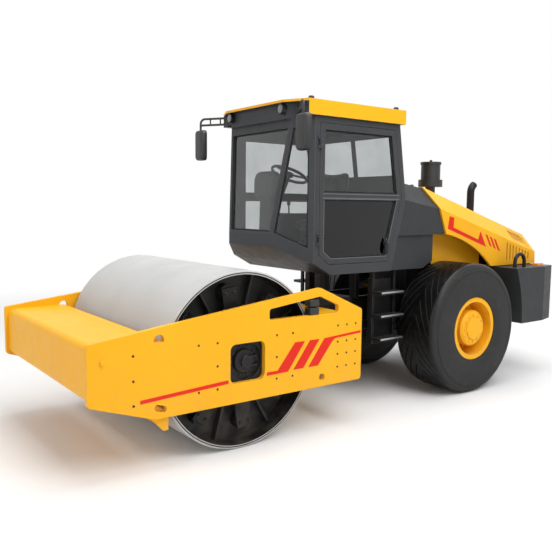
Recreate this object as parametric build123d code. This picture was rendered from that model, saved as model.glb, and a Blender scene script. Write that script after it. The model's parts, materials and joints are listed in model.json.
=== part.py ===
from build123d import *
from math import atan2, cos, degrees, hypot, pi, radians, sin, sqrt
import os

# Road roller with one smooth vibrating drum, an articulated frame, a cab and two driven rear wheels.
# Millimetres. X points forward to the drum, Y to the machine's left, Z up. Ground is Z = 0.

# Overall places along the machine
PIVOT_BEHIND_DRUM = 1610.0
PIVOT_AHEAD_OF_AXLE = 1610.0
FRONT_OVERHANG = 1450.0
REAR_OVERHANG = 1730.0
WHEELBASE = PIVOT_BEHIND_DRUM + PIVOT_AHEAD_OF_AXLE
X_DRUM = (WHEELBASE + REAR_OVERHANG - FRONT_OVERHANG) / 2
X_AXLE = X_DRUM - WHEELBASE
X_PIVOT = X_DRUM - PIVOT_BEHIND_DRUM

# Clearances, and how far a cutter or a joined piece runs past a face
SEAT_GAP = 0.3
RUN_GAP = 0.05
MOVE_GAP = 8.0
PAST = 1.0

# Front frame plates
PLATE_HALF_WIDTH = 1152.0
PLATE_THICK = 50.0
PLATE_INNER = PLATE_HALF_WIDTH - PLATE_THICK
PLATE_LOW = 450.0
PLATE_TOP_FRONT = 1120.0
PLATE_NOSE_LOW = 640.0
PLATE_APEX = 1400.0
PLATE_TOP_REAR = 1160.0
PLATE_TO_PIVOT = 250.0
PLATE_REAR = PIVOT_BEHIND_DRUM - PLATE_TO_PIVOT
PLATE_APEX_BEHIND = 825.0
PLATE_CHIN_AHEAD = 895.0
PLATE_CORNER = 34.0
WINDOW_WIDE = 365.0
WINDOW_HIGH = 345.0
WINDOW_CORNER = 55.0
SLOT_FRONT = 228.0
SLOT_REAR = 1050.0
SLOT_LOW = 1150.0
SLOT_RIM = 78.0
SLOT_CORNER = 26.0
TIE_HOLE_RADIUS = 35.0
TIE_HOLE_LEVEL = 541.0
TIE_HOLE_BEHIND = 852.0
EYE_AHEAD = 855.0
EYE_LEVEL = 1092.0
EYE_RADIUS = 46.0
EYE_FLAT_DROP = 16.0
HOOK_AHEAD = 846.0
HOOK_LEVEL = 532.0
HOOK_HALF = 30.0
HOOK_RADIUS = 27.0
HOOK_SLANT = 19.0
KNOB_AHEAD = 1330.0
KNOB_LEVEL = 973.0
KNOB_STEM = 18.0
KNOB_OUT = 22.0

# Drum
DRUM_RADIUS = 800.0
DRUM_SIDE_GAP = 37.0
DRUM_WIDTH = 2 * (PLATE_INNER - DRUM_SIDE_GAP)
DRUM_SHELL = 36.0
DRUM_INNER = DRUM_RADIUS - DRUM_SHELL
DRUM_EDGE = 10.0
RING_INSET = 18.0
RING_WIDE = 8.0
RING_DEPTH = 10.0
HEAD_INSET = 210.0
HEAD_THICK = 40.0
HEAD_OUT = DRUM_WIDTH / 2 - HEAD_INSET
HEAD_HUB_RADIUS = 300.0
HEAD_HUB_DEPTH = 60.0
GUSSET_THICK = 20.0
GUSSET_DEPTH = 70.0
SPINDLE_RADIUS = 90.0
BUFFER_COUNT = 8
BUFFER_START = 7.5
BUFFER_CIRCLE = 600.0
BUFFER_RADIUS = 78.0
BUFFER_LENGTH = 90.0
SPIDER_OUT = HEAD_OUT + BUFFER_LENGTH
SPIDER_THICK = 30.0
SPIDER_HUB = 230.0
SPIDER_ARM = 150.0
SPIDER_REACH = BUFFER_CIRCLE + BUFFER_RADIUS * 0.6

# Front frame beams and drum carriers
BEAM_INSET = 28.0
BEAM_DRUM_GAP = 52.0
BEAM_DEPTH = FRONT_OVERHANG - BEAM_INSET - DRUM_RADIUS - BEAM_DRUM_GAP
BEAM_LOW = 640.0
BEAM_TOP = 1100.0
BEAM_EDGE = 60.0
CROSS_DRUM_GAP = 250.0
CROSS_FRONT = DRUM_RADIUS + CROSS_DRUM_GAP
CROSS_LOW = 520.0
CROSS_TOP = 1090.0
BRACKET_HALF = 560.0
BRACKET_HIGH = 500.0
BRACKET_THICK = 30.0
FLANGE_RADIUS = 250.0
FLANGE_THICK = 40.0
SCRAPER_THICK = 20.0
SCRAPER_LOW = 325.0
SCRAPER_TOP = 490.0
SCRAPER_GAP = 15.0
SCRAPER_FOOT = 45.0
SCRAPER_ARM_THICK = 30.0
SCRAPER_ARM_AHEAD = 910.0

# Articulation
TRUNNION_LEVEL = 780.0
TRUNNION_RADIUS = 110.0
TRUNNION_COLLAR = 170.0
TRUNNION_CAP = 40.0
SLEEVE_RADIUS = 130.0
KING_PIN_RADIUS = 60.0
KING_PIN_END = 30.0
FORK_LOW = 430.0
FORK_TOP = 1130.0
FORK_THICK = 80.0
FORK_NOSE_RADIUS = 165.0
STEER_ARM_AHEAD = 150.0
STEER_ARM_SIDE = 350.0
STEER_ARM_THICK = 60.0
STEER_LUG_RADIUS = 60.0
STEER_BASE_BEHIND = 900.0
STEER_BASE_SIDE = 455.0
STEER_PIN_RADIUS = 30.0
STEER_PIN_HEAD = 16.0
STEER_SHIM = 5.0
STEER_LEVEL = TRUNNION_LEVEL + SEAT_GAP + STEER_LUG_RADIUS / 2 + STEER_SHIM
CLEVIS_GAP = 3.0
BARREL_RADIUS = 55.0
ROD_RADIUS = 32.0
BARREL_REACH = 620.0
BARREL_BORE_START = 136.0
ROD_TAIL = 353.0

# Rear frame
RAIL_HALF_GAP = 260.0
RAIL_THICK = 40.0
RAIL_OUTER = RAIL_HALF_GAP + RAIL_THICK
RAIL_TOP = 1130.0
RAIL_LOW = 720.0
RAIL_FRONT = 400.0
X_RAIL_FRONT = X_PIVOT - RAIL_FRONT
AXLE_NOTCH = 230.0
AXLE_NOTCH_FOOT = 320.0
AXLE_NOTCH_TOP = 930.0
AXLE_PAD_HALF = 185.0

# Wheels and axle
TYRE_RADIUS = 760.0
TYRE_WIDTH = 580.0
TYRE_OUTER = 1135.0
TYRE_INNER = TYRE_OUTER - TYRE_WIDTH
TYRE_MIDDLE = TYRE_OUTER - TYRE_WIDTH / 2
SHOULDER_RADIUS = 746.0
SHOULDER_WIDE = 34.0
FLANK_RADIUS = 706.0
FLANK_DROP = 9.0
BULGE_RADIUS = 590.0
BEAD_GAP = 3.0
BEAD_RISE_IN = 50.0
BEAD_RISE_OUT = 14.0
GROOVE_COUNT = 28
GROOVE_DEPTH = 18.0
GROOVE_TURN = 2.6
GROOVE_SWEEP = 30.0
GROOVE_RUNS = 2
GROOVE_FROM = 26.0
GROOVE_SHORT = 66.0
GROOVE_PITCH = 360.0 / GROOVE_COUNT
GROOVE_TO = TYRE_WIDTH / 2 - GROOVE_SHORT
RIM_RADIUS = 330.0
RIM_FLANGE = 366.0
RIM_WALL = 16.0
RIM_INNER = TYRE_INNER + 60.0
RIM_OUTER = TYRE_OUTER - 25.0
DISC_IN = TYRE_OUTER - 300.0
DISC_THICK = 30.0
AXLE_SPINDLE = 95.0
AXLE_TUBE = 130.0
AXLE_BULGE = 215.0
AXLE_END_GAP = 20.0
SPINDLE_END = TYRE_OUTER - 190.0
SPINDLE_END_GAP = 4.0
HUB_RADIUS = 210.0
HUB_STEP = 40.0
HUB_BEVEL = 25.0
HUB_CAP_RADIUS = 126.0
HUB_CAP = 15.0

# Cab, places measured forward from the rear axle
CAB_HALF = 740.0
CAB_NOSE = 2440.0
CAB_NOSE_HALF = 390.0
CAB_CORNER = 2150.0
CAB_SCREEN_TOP = 2300.0
CAB_SILL_FRONT = 1915.0
CAB_REAR_LOW = 1030.0
CAB_REAR_MID = 830.0
CAB_REAR_TOP = 950.0
CAB_FLOOR = 1460.0
CAB_NOSE_LOW = 1745.0
CAB_NOSE_SILL = 1870.0
CAB_BELT = 2270.0
CAB_TOP = 3060.0
CAB_WALL = 60.0
INNER_HALF = CAB_HALF - CAB_WALL
FLOOR_JOIN = 1615.0
POST = 62.0
DOOR_GAP = 6.0
DOOR_SILL = 104.0
DOOR_SILL_FRONT = 210.0
DOOR_SILL_AHEAD = 30.0
DOOR_REAR_POST = 50.0
GLASS_THICK = 10.0
BELT_RAIL = 70.0
SCREEN_POST = 32.0
SCREEN_SILL = 30.0
SCREEN_HEAD = 120.0
CORNER_SILL = 20.0
CORNER_DROP = 130.0
CORNER_CUT = 5.0
SCREEN_CUT = 40.0
REAR_PANE_SIDE = 70.0
REAR_PANE_SILL = 230.0
REAR_PANE_HEAD = 110.0
ROOF_THICK = 150.0
ROOF_PLATE = 28.0
ROOF_TOP = CAB_TOP + ROOF_THICK
ROOF_OVERHANG = 40.0
ROOF_HALF = CAB_HALF + ROOF_OVERHANG
ROOF_NOSE = 2395.0
ROOF_NOSE_HALF = 530.0
ROOF_CORNER = 2270.0
ROOF_REAR = 900.0
ROOF_LUG = 60.0
ROOF_LUG_THICK = 20.0
ROOF_LUG_HIGH = 30.0
ROOF_LUG_INSET = 40.0
HEADER_NOSE = 2340.0
HEADER_NOSE_HALF = 510.0
HEADER_SIDE_END = 2195.0
HEADER_WALL = 40.0
HEADER_LAP = 30.0

# Mirrors and work lamps
MIRROR_X = 2476.0
MIRROR_SIDE = 952.0
MIRROR_LOW = 2680.0
MIRROR_TOP = 3035.0
MIRROR_HALF = 92.0
MIRROR_THICK = 70.0
MIRROR_CORNER = 30.0
ARM_BAR = 11.0
ARM_POST = 14.0
ARM_LEVELS = (3085.0, 3155.0)
ARM_ROOT_X = 2240.0
ARM_ROOT_SIDE = 560.0
ARM_RUNGS = (0.45, 0.72)
LAMP_RADIUS = 52.0
LAMP_DEPTH = 50.0
LAMP_SIDE = 470.0
LAMP_LEVEL = 3125.0

# Cab inside
SEAT_X = 1420.0
SEAT_LEVEL = 1950.0
SEAT_PAD = 60.0
SEAT_HALF = 250.0
SEAT_AHEAD = 260.0
SEAT_BEHIND = 240.0
SEAT_BACK_THICK = 120.0
SEAT_BACK_HIGH = 620.0
SEAT_EDGE = 28.0
PEDESTAL_HALF = 180.0
CONSOLE_REAR = 2120.0
CONSOLE_FRONT = 2265.0
CONSOLE_HALF = 110.0
POD_REAR = 2108.0
POD_FRONT = 2275.0
POD_HALF = 185.0
POD_LOW = 2240.0
POD_TOP = 2535.0
POD_EDGE = 60.0
WHEEL_X = 1900.0
WHEEL_LEVEL = 2510.0
WHEEL_TILT = 25.0
WHEEL_RADIUS = 200.0
WHEEL_BAR = 16.0
WHEEL_HUB = 45.0
WHEEL_HUB_HIGH = 40.0
WHEEL_SPOKE = 30.0
WHEEL_SPOKE_THICK = 14.0
WHEEL_SPOKES = 3
KNOB_RADIUS = 18.0
KNOB_HIGH = 60.0
KNOB_TURN = 145.0
COLUMN_RADIUS = 22.0
COLUMN_LENGTH = 540.0

# Cowl and hood
HOOD_HALF = 760.0
HOOD_TOP_HALF = 560.0
HOOD_SLOPE = 0.2876
COWL_SLOPE = 0.164
HOOD_CREASE_FRONT = 250.0
HOOD_CREASE_LEVEL = 2150.0
HOOD_SHOULDER = 222.0
HOOD_WALL = 30.0
HOOD_WALL_SINK = 0.4
HOOD_REACH = 600.0
HOOD_TALL = 200.0
HOOD_FRONT_LOW = 130.0
HOOD_FRONT_LOW_LEVEL = 1850.0
HOOD_REAR_LEAN = 75.0
HOOD_BASE = 1432.0
HOOD_ARCH_END = 760.0
HOOD_ARCH_MID = 266.0
HOOD_ARCH_LEVEL = 1740.0
LOUVRE_COUNT = 8
LOUVRE_FIRST = 1090.0
LOUVRE_PITCH = 68.0
LOUVRE_WIDE = 26.0
LOUVRE_LOW = 1490.0
LOUVRE_HEAD = 45.0
RECESS_FRONT = 1270.0
RECESS_REAR = 1630.0
RECESS_IN = 620.0
RECESS_OUT = 735.0
RECESS_DEPTH = 12.0
GRILLE_COUNT = 4
GRILLE_HALF = 430.0
GRILLE_LOW = 1480.0
GRILLE_PITCH = 56.0
GRILLE_HIGH = 26.0
COWL_INSET = 20.0
COWL_BASE = 1850.0
COWL_WALL = 40.0
COWL_REACH = 250.0
COWL_TALL = 2700.0
SKIRT_OUT = HOOD_HALF - COWL_INSET - COWL_WALL
SKIRT_REAR = 300.0
SKIRT_LAP = 60.0
SKIRT_TYRE_GAP = 75.0
TYRE_SIDE_GAP = 25.0
BAY_HALF = TYRE_INNER - TYRE_SIDE_GAP
BAY_WALL = 20.0
BAY_FRONT = 110.0
BAY_REAR = 800.0
BAY_FOOT = 840.0
BAY_DROP = 60.0
ENGINE_REAR = 800.0
ENGINE_FRONT = 300.0
ENGINE_TOP = 1780.0

# Door and hood hinges
HINGE_PIN = 8.0
HINGE_KNUCKLE = 17.0
HINGE_SPAN = 60.0
HINGE_GAP = 2.0
DOOR_HINGE_LEVELS = (1830.0, 2800.0)
HOOD_HINGE_SIDES = (-350.0, 350.0)
HOOD_LEAF_DROP = 38.0

# Counterweight and what stands on it
WEIGHT_HALF = 1080.0
WEIGHT_LOW = 715.0
WEIGHT_TOP = 1420.0
WEIGHT_FRONT_TOP = 850.0
WEIGHT_FRONT_MID = 968.0
WEIGHT_FRONT_LOW = 1000.0
WEIGHT_CHAMFER_LONG = 270.0
WEIGHT_CHAMFER_WIDE = 70.0
LOOP_BEHIND = 1076.0
LOOP_INSET = 120.0
LOOP_RADIUS = 95.0
LOOP_BAR = 17.0
LOOP_LEG = 65.0
TAIL_FRONT = 1400.0
TAIL_REAR = 1530.0
TAIL_IN = 150.0
TAIL_OUT = 70.0
TAIL_HIGH = 34.0

# Tanks, ladders and cab posts
TANK_TYRE_GAP = 90.0
TANK_FRONT_GAP = 30.0
TANK_ROD_GAP = 10.0
TANK_IN = STEER_BASE_SIDE + BARREL_RADIUS + TANK_ROD_GAP
TANK_THICK = 80.0
TANK_OUT = TANK_IN + TANK_THICK
TANK_LOW = 620.0
TANK_HEAD = 100.0
TANK_EDGE = 25.0
LADDER_BAR = 30.0
LADDER_DEEP = 40.0
LADDER_LOW = 640.0
LADDER_STEPS = (680.0, 940.0, 1200.0)
LADDER_REACH = 180.0
CAB_POST = 60.0
CAB_POST_WIDE = 100.0
FORK_POST_BEHIND = 170.0
FORK_POST_SIDE = 90.0
FORK_POST = 80.0

# Air cleaner and exhaust
CLEANER_BEHIND = 90.0
CLEANER_SIDE = 300.0
CLEANER_STAGES = ((60.0, -60.0, 146.0), (148.0, 145.0, 232.0), (118.0, 232.0, 421.0), (128.0, 420.0, 450.0),
                  (16.0, 450.0, 476.0))
EXHAUST_BEHIND = 860.0
EXHAUST_SIDE = 330.0
EXHAUST_RADIUS = 38.0
EXHAUST_WALL = 5.0
EXHAUST_LEVEL = 2385.0
EXHAUST_BEND = 90.0
EXHAUST_TURN = 60.0
EXHAUST_PLATE = 70.0
EXHAUST_PLATE_THICK = 12.0


def front_x(ahead):
    """X of a point measured forward from the drum axis."""
    return X_DRUM + ahead


def rear_x(ahead):
    """X of a point measured forward from the rear axle."""
    return X_AXLE + ahead


def pivot_x(ahead):
    """X of a point measured forward from the steering pivot."""
    return X_PIVOT + ahead


def face_xz(points):
    """Flat face in the XZ plane from (x, z) points."""
    return make_face(Polyline(*[(x, 0, z) for x, z in points], close=True))


def slab_y(face, y_from, y_to):
    """Solid from a face of the XZ plane, between two places across the machine."""
    return Pos(0, y_from, 0) * extrude(face, amount=y_to - y_from, dir=(0, 1, 0))


def slab_z(points, z_from, z_to):
    """Upright prism over an outline of (x, y) points."""
    face = make_face(Polyline(*[(x, y, 0) for x, y in points], close=True))
    return Pos(0, 0, z_from) * extrude(face, amount=z_to - z_from, dir=(0, 0, 1))


def slab_x(points, x_from, x_to):
    """Prism along the machine over an outline of (y, z) points."""
    face = make_face(Polyline(*[(0, y, z) for y, z in points], close=True))
    return Pos(x_from, 0, 0) * extrude(face, amount=x_to - x_from, dir=(1, 0, 0))


def block(x_from, x_to, y_from, y_to, z_from, z_to):
    """Box between six limits."""
    middle = Pos((x_from + x_to) / 2, (y_from + y_to) / 2, (z_from + z_to) / 2)
    return middle * Box(x_to - x_from, y_to - y_from, z_to - z_from)


def rod_y(radius, x, z, y_from, y_to):
    """Round bar across the machine."""
    return Pos(x, (y_from + y_to) / 2, z) * Rot(90, 0, 0) * Cylinder(radius, abs(y_to - y_from))


def rod_x(radius, y, z, x_from, x_to):
    """Round bar along the machine."""
    return Pos((x_from + x_to) / 2, y, z) * Rot(0, 90, 0) * Cylinder(radius, abs(x_to - x_from))


def rod_z(radius, x, y, z_from, z_to):
    """Upright round bar."""
    return Pos(x, y, (z_from + z_to) / 2) * Cylinder(radius, abs(z_to - z_from))


def mirrored(shape):
    """The same shape on the machine's other side."""
    return mirror(shape, about=Plane.XZ)


def turned_y(points, x, z):
    """Ring turned about an axis across the machine, from (radius, y) points."""
    profile = make_face(Polyline(*[(r, y, 0) for r, y in points], close=True))
    return Pos(x, 0, z) * revolve(profile, axis=Axis.Y)


def hinge_parts(knuckle_leaf, fixed_leaf):
    """Moving and fixed half of a hinge along local Z, with the pin in the fixed half."""
    half = HINGE_SPAN / 2
    outer = half + HINGE_GAP
    end = outer + half
    moving = Cylinder(HINGE_KNUCKLE, HINGE_SPAN) + block(*knuckle_leaf, -half, half)
    moving -= Cylinder(HINGE_PIN + RUN_GAP, HINGE_SPAN * 3)
    fixed = Cylinder(HINGE_PIN, end * 2)
    for low, high in ((-end, -outer), (outer, end)):
        fixed += rod_z(HINGE_KNUCKLE, 0, 0, low, high) + block(*fixed_leaf, low, high)
    return moving, fixed


# Front frame

def plate_outline():
    """Outline of a front side plate, seen from the side."""
    return [
        (front_x(FRONT_OVERHANG), PLATE_TOP_FRONT),
        (front_x(FRONT_OVERHANG), PLATE_NOSE_LOW),
        (front_x(PLATE_CHIN_AHEAD), PLATE_LOW),
        (front_x(-PLATE_REAR), PLATE_LOW),
        (front_x(-PLATE_REAR), PLATE_TOP_REAR),
        (front_x(-PLATE_APEX_BEHIND), PLATE_APEX),
    ]


def plate_top_at(behind):
    """Height of the plate's long top edge at a place behind the drum axis."""
    run = (FRONT_OVERHANG + behind) / (FRONT_OVERHANG + PLATE_APEX_BEHIND)
    return PLATE_TOP_FRONT + run * (PLATE_APEX - PLATE_TOP_FRONT)


def plate_rear_top_at(behind):
    """Height of the plate's rear top edge at a place behind the drum axis."""
    run = (behind - PLATE_APEX_BEHIND) / (PLATE_REAR - PLATE_APEX_BEHIND)
    return PLATE_APEX + run * (PLATE_TOP_REAR - PLATE_APEX)


def plate_slot():
    """Cutter for the long slot below the plate's peak."""
    points = [
        (front_x(-SLOT_FRONT), SLOT_LOW),
        (front_x(-SLOT_REAR), SLOT_LOW),
        (front_x(-SLOT_REAR), plate_rear_top_at(SLOT_REAR) - SLOT_RIM),
        (front_x(-PLATE_APEX_BEHIND), PLATE_APEX - SLOT_RIM),
        (front_x(-SLOT_FRONT), plate_top_at(SLOT_FRONT) - SLOT_RIM),
    ]
    slot = slab_y(face_xz(points), PLATE_INNER - PAST, PLATE_HALF_WIDTH + PAST)
    return fillet(slot.edges().filter_by(Axis.Y), SLOT_CORNER)


def plate_holes():
    """Cutters for the lifting eye, the slanted hook slot and the round tie-down hole."""
    y_from = PLATE_INNER - PAST
    y_to = PLATE_HALF_WIDTH + PAST
    eye = rod_y(EYE_RADIUS, front_x(EYE_AHEAD), EYE_LEVEL, y_from, y_to)
    flat = EYE_LEVEL - EYE_FLAT_DROP
    eye &= block(front_x(0), front_x(FRONT_OVERHANG), y_from, y_to, flat, PLATE_APEX)
    hook = block(-HOOK_HALF, HOOK_HALF, y_from, y_to, -HOOK_RADIUS, HOOK_RADIUS)
    for end in (-HOOK_HALF, HOOK_HALF):
        hook += rod_y(HOOK_RADIUS, end, 0, y_from, y_to)
    hook = Pos(front_x(HOOK_AHEAD), 0, HOOK_LEVEL) * Rot(0, -HOOK_SLANT, 0) * hook
    tie = rod_y(TIE_HOLE_RADIUS, front_x(-TIE_HOLE_BEHIND), TIE_HOLE_LEVEL, y_from, y_to)
    return [eye, hook, tie]


def side_plate():
    """Left side plate with its axle window, long slot, holes and stop knob."""
    body = slab_y(face_xz(plate_outline()), PLATE_INNER, PLATE_HALF_WIDTH)
    body = fillet(body.edges().filter_by(Axis.Y), PLATE_CORNER)
    half = WINDOW_WIDE / 2
    rise = WINDOW_HIGH / 2
    window = block(front_x(-half), front_x(half), PLATE_INNER - PAST, PLATE_HALF_WIDTH + PAST,
                   DRUM_RADIUS - rise, DRUM_RADIUS + rise)
    window = fillet(window.edges().filter_by(Axis.Y), WINDOW_CORNER)
    for cutter in [window, plate_slot()] + plate_holes():
        body -= cutter
    return body + rod_y(KNOB_STEM, front_x(KNOB_AHEAD), KNOB_LEVEL, PLATE_HALF_WIDTH - PAST, PLATE_HALF_WIDTH + KNOB_OUT)


def front_beam():
    """Box beam that joins the side plates ahead of the drum."""
    x_front = front_x(FRONT_OVERHANG - BEAM_INSET)
    beam = block(x_front - BEAM_DEPTH, x_front, -PLATE_INNER, PLATE_INNER, BEAM_LOW, BEAM_TOP)
    edges = beam.edges().filter_by(Axis.Y).sort_by(Axis.X)[-2:]
    return fillet(edges, BEAM_EDGE)


def rear_crossbeam():
    """Box beam behind the drum with the bearing bore of the articulation trunnion."""
    x_back = front_x(-PLATE_REAR)
    x_front = front_x(-CROSS_FRONT)
    beam = block(x_back, x_front, -PLATE_INNER, PLATE_INNER, CROSS_LOW, CROSS_TOP)
    return beam - rod_x(TRUNNION_RADIUS + RUN_GAP, 0, TRUNNION_LEVEL, x_back - PAST, x_front + PAST)


def on_drum(shape, angle):
    """A shape placed on the drum axis and turned about it."""
    return Pos(X_DRUM, 0, DRUM_RADIUS) * Rot(0, angle, 0) * shape


def drum_end_points(half):
    """Profile of the shell's left end as (radius, y) points, with the groove in its face."""
    groove_out = DRUM_RADIUS - RING_INSET
    groove_in = groove_out - RING_WIDE
    return [
        (DRUM_RADIUS, half - DRUM_EDGE), (DRUM_RADIUS - DRUM_EDGE, half), (groove_out, half),
        (groove_out, half - RING_DEPTH), (groove_in, half - RING_DEPTH), (groove_in, half), (DRUM_INNER, half),
    ]


def drum_head():
    """Left drum head with its hub, radial gussets and spindle bore."""
    bore = SPINDLE_RADIUS + RUN_GAP
    head_in = HEAD_OUT - HEAD_THICK
    hub_out = HEAD_OUT + HEAD_HUB_DEPTH
    points = [
        (bore, head_in), (DRUM_INNER + PAST, head_in), (DRUM_INNER + PAST, HEAD_OUT), (HEAD_HUB_RADIUS, HEAD_OUT),
        (HEAD_HUB_RADIUS, hub_out), (bore, hub_out),
    ]
    head = turned_y(points, X_DRUM, DRUM_RADIUS)
    half = GUSSET_THICK / 2
    gusset = block(HEAD_HUB_RADIUS - HEAD_THICK, DRUM_INNER + PAST, HEAD_OUT - PAST, HEAD_OUT + GUSSET_DEPTH,
                   -half, half)
    for step in range(BUFFER_COUNT):
        head += on_drum(gusset, BUFFER_START + 360 / BUFFER_COUNT * (step + 0.5))
    return head


def drum_spider():
    """Left drive spider that stands on the buffers and turns with the drum."""
    y_to = SPIDER_OUT + SPIDER_THICK
    body = rod_y(SPIDER_HUB, X_DRUM, DRUM_RADIUS, SPIDER_OUT, y_to)
    arm = block(0, SPIDER_REACH, SPIDER_OUT, y_to, -SPIDER_ARM / 2, SPIDER_ARM / 2)
    for step in range(BUFFER_COUNT):
        body += on_drum(arm, BUFFER_START + 360 / BUFFER_COUNT * step)
    return body - rod_y(SPINDLE_RADIUS + RUN_GAP, X_DRUM, DRUM_RADIUS, SPIDER_OUT - PAST, y_to + PAST)


def drum_shape():
    """Drum shell with its two heads, and the drive spiders outside them."""
    left = drum_end_points(DRUM_WIDTH / 2)
    right = [(radius, -y) for radius, y in reversed(left)]
    head = drum_head()
    spider = drum_spider()
    body = turned_y(left + right, X_DRUM, DRUM_RADIUS) + head + mirrored(head)
    return Compound(children=[body, spider, mirrored(spider)])


def buffers():
    """Rings of rubber buffers between the drum heads and the spiders."""
    pad = rod_y(BUFFER_RADIUS, BUFFER_CIRCLE, 0, HEAD_OUT, SPIDER_OUT)
    pads = [on_drum(pad, BUFFER_START + 360 / BUFFER_COUNT * step) for step in range(BUFFER_COUNT)]
    return Compound(children=pads + [mirrored(pad) for pad in pads])


def carriers():
    """Drum carriers: a bracket on each plate with its flange and drum spindle."""
    y_back = PLATE_INNER - BRACKET_THICK
    rise = BRACKET_HIGH / 2
    bracket = block(front_x(-BRACKET_HALF), front_x(BRACKET_HALF), y_back, PLATE_INNER, DRUM_RADIUS - rise,
                    DRUM_RADIUS + rise)
    bracket -= rod_y(WINDOW_HIGH / 2, X_DRUM, DRUM_RADIUS, y_back - PAST, PLATE_INNER + PAST)
    flange = rod_y(FLANGE_RADIUS, X_DRUM, DRUM_RADIUS, y_back - FLANGE_THICK, y_back)
    spindle = rod_y(SPINDLE_RADIUS, X_DRUM, DRUM_RADIUS, HEAD_OUT - HEAD_THICK, y_back)
    side = bracket + flange + spindle
    return Compound(children=[side, mirrored(side)])


def scraper():
    """Scraper bar across the front of the drum, on two arms inside the plates."""
    reach = sqrt(DRUM_RADIUS ** 2 - (DRUM_RADIUS - SCRAPER_TOP) ** 2)
    x_face = front_x(reach + SCRAPER_GAP)
    bar = block(x_face, x_face + SCRAPER_THICK, -PLATE_INNER, PLATE_INNER, SCRAPER_LOW, SCRAPER_TOP)
    outline = [
        (x_face, SCRAPER_LOW), (x_face + SCRAPER_FOOT, SCRAPER_LOW), (front_x(SCRAPER_ARM_AHEAD), PLATE_LOW),
        (front_x(SCRAPER_ARM_AHEAD), SCRAPER_TOP), (x_face, SCRAPER_TOP),
    ]
    arm = slab_y(face_xz(outline), PLATE_INNER - SCRAPER_ARM_THICK, PLATE_INNER)
    return bar + arm + mirrored(arm)


# Articulation

def yoke():
    """Articulation block: upright sleeve, trunnion along the machine and two steering arms."""
    sleeve = rod_z(SLEEVE_RADIUS, X_PIVOT, 0, FORK_LOW + FORK_THICK + MOVE_GAP, FORK_TOP - FORK_THICK - MOVE_GAP)
    x_back = front_x(-PLATE_REAR)
    x_front = front_x(-CROSS_FRONT) + MOVE_GAP
    trunnion = rod_x(TRUNNION_RADIUS, 0, TRUNNION_LEVEL, X_PIVOT, x_front)
    collar_from = X_PIVOT + KING_PIN_RADIUS + RUN_GAP * 2
    collar = rod_x(TRUNNION_COLLAR, 0, TRUNNION_LEVEL, collar_from, x_back - MOVE_GAP)
    cap = rod_x(TRUNNION_COLLAR, 0, TRUNNION_LEVEL, x_front, x_front + TRUNNION_CAP)
    arm_low = TRUNNION_LEVEL - STEER_ARM_THICK
    outline = [
        (X_PIVOT - SLEEVE_RADIUS / 2, 0),
        (pivot_x(STEER_ARM_AHEAD - STEER_LUG_RADIUS), STEER_ARM_SIDE),
        (pivot_x(STEER_ARM_AHEAD + STEER_LUG_RADIUS), STEER_ARM_SIDE),
        (pivot_x(STEER_ARM_AHEAD + STEER_LUG_RADIUS), 0),
    ]
    arm = slab_z(outline, arm_low, TRUNNION_LEVEL)
    arm += rod_z(STEER_LUG_RADIUS, pivot_x(STEER_ARM_AHEAD), STEER_ARM_SIDE, arm_low, TRUNNION_LEVEL)
    body = sleeve + trunnion + collar + cap + arm + mirrored(arm)
    return body - rod_z(KING_PIN_RADIUS + RUN_GAP, X_PIVOT, 0, 0, RAIL_TOP * 2)


def king_pin():
    """Upright pin through the fork plates and the yoke."""
    return rod_z(KING_PIN_RADIUS, X_PIVOT, 0, FORK_LOW - KING_PIN_END, FORK_TOP + KING_PIN_END)


def steer_line():
    """Length and heading of the left steering cylinder at rest."""
    run_x = STEER_ARM_AHEAD + STEER_BASE_BEHIND
    run_y = STEER_ARM_SIDE - STEER_BASE_SIDE
    return hypot(run_x, run_y), degrees(atan2(run_y, run_x))


def steer_place():
    """Placement of the left steering cylinder, X along its rod."""
    heading = steer_line()[1]
    return Pos(pivot_x(-STEER_BASE_BEHIND), STEER_BASE_SIDE, STEER_LEVEL) * Rot(0, 0, heading)


def steer_barrel():
    """Left steering cylinder barrel with its base eye."""
    half = STEER_LUG_RADIUS / 2
    eye = rod_z(STEER_LUG_RADIUS, 0, 0, -half, half)
    neck = STEER_LUG_RADIUS + BARREL_RADIUS / 2
    shank = block(0, neck + PAST, -BARREL_RADIUS / 2, BARREL_RADIUS / 2, -half, half)
    body = eye + shank + rod_x(BARREL_RADIUS, 0, 0, neck, BARREL_REACH)
    body -= rod_z(STEER_PIN_RADIUS + RUN_GAP, 0, 0, -BARREL_RADIUS * 2, BARREL_RADIUS * 2)
    body -= rod_x(ROD_RADIUS + RUN_GAP, 0, 0, BARREL_BORE_START, BARREL_REACH + PAST)
    return steer_place() * body


def steer_rod():
    """Left steering rod with its eye and pin head."""
    length = steer_line()[0]
    half = STEER_LUG_RADIUS / 2
    rod = rod_x(ROD_RADIUS, 0, 0, ROD_TAIL, length - half)
    eye = rod_z(STEER_LUG_RADIUS * 0.9, length, 0, -half - STEER_SHIM, half)
    head = rod_z(STEER_PIN_RADIUS, length, 0, half - PAST, half + STEER_PIN_HEAD)
    return steer_place() * (rod + eye + head)


# Rear frame

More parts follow.
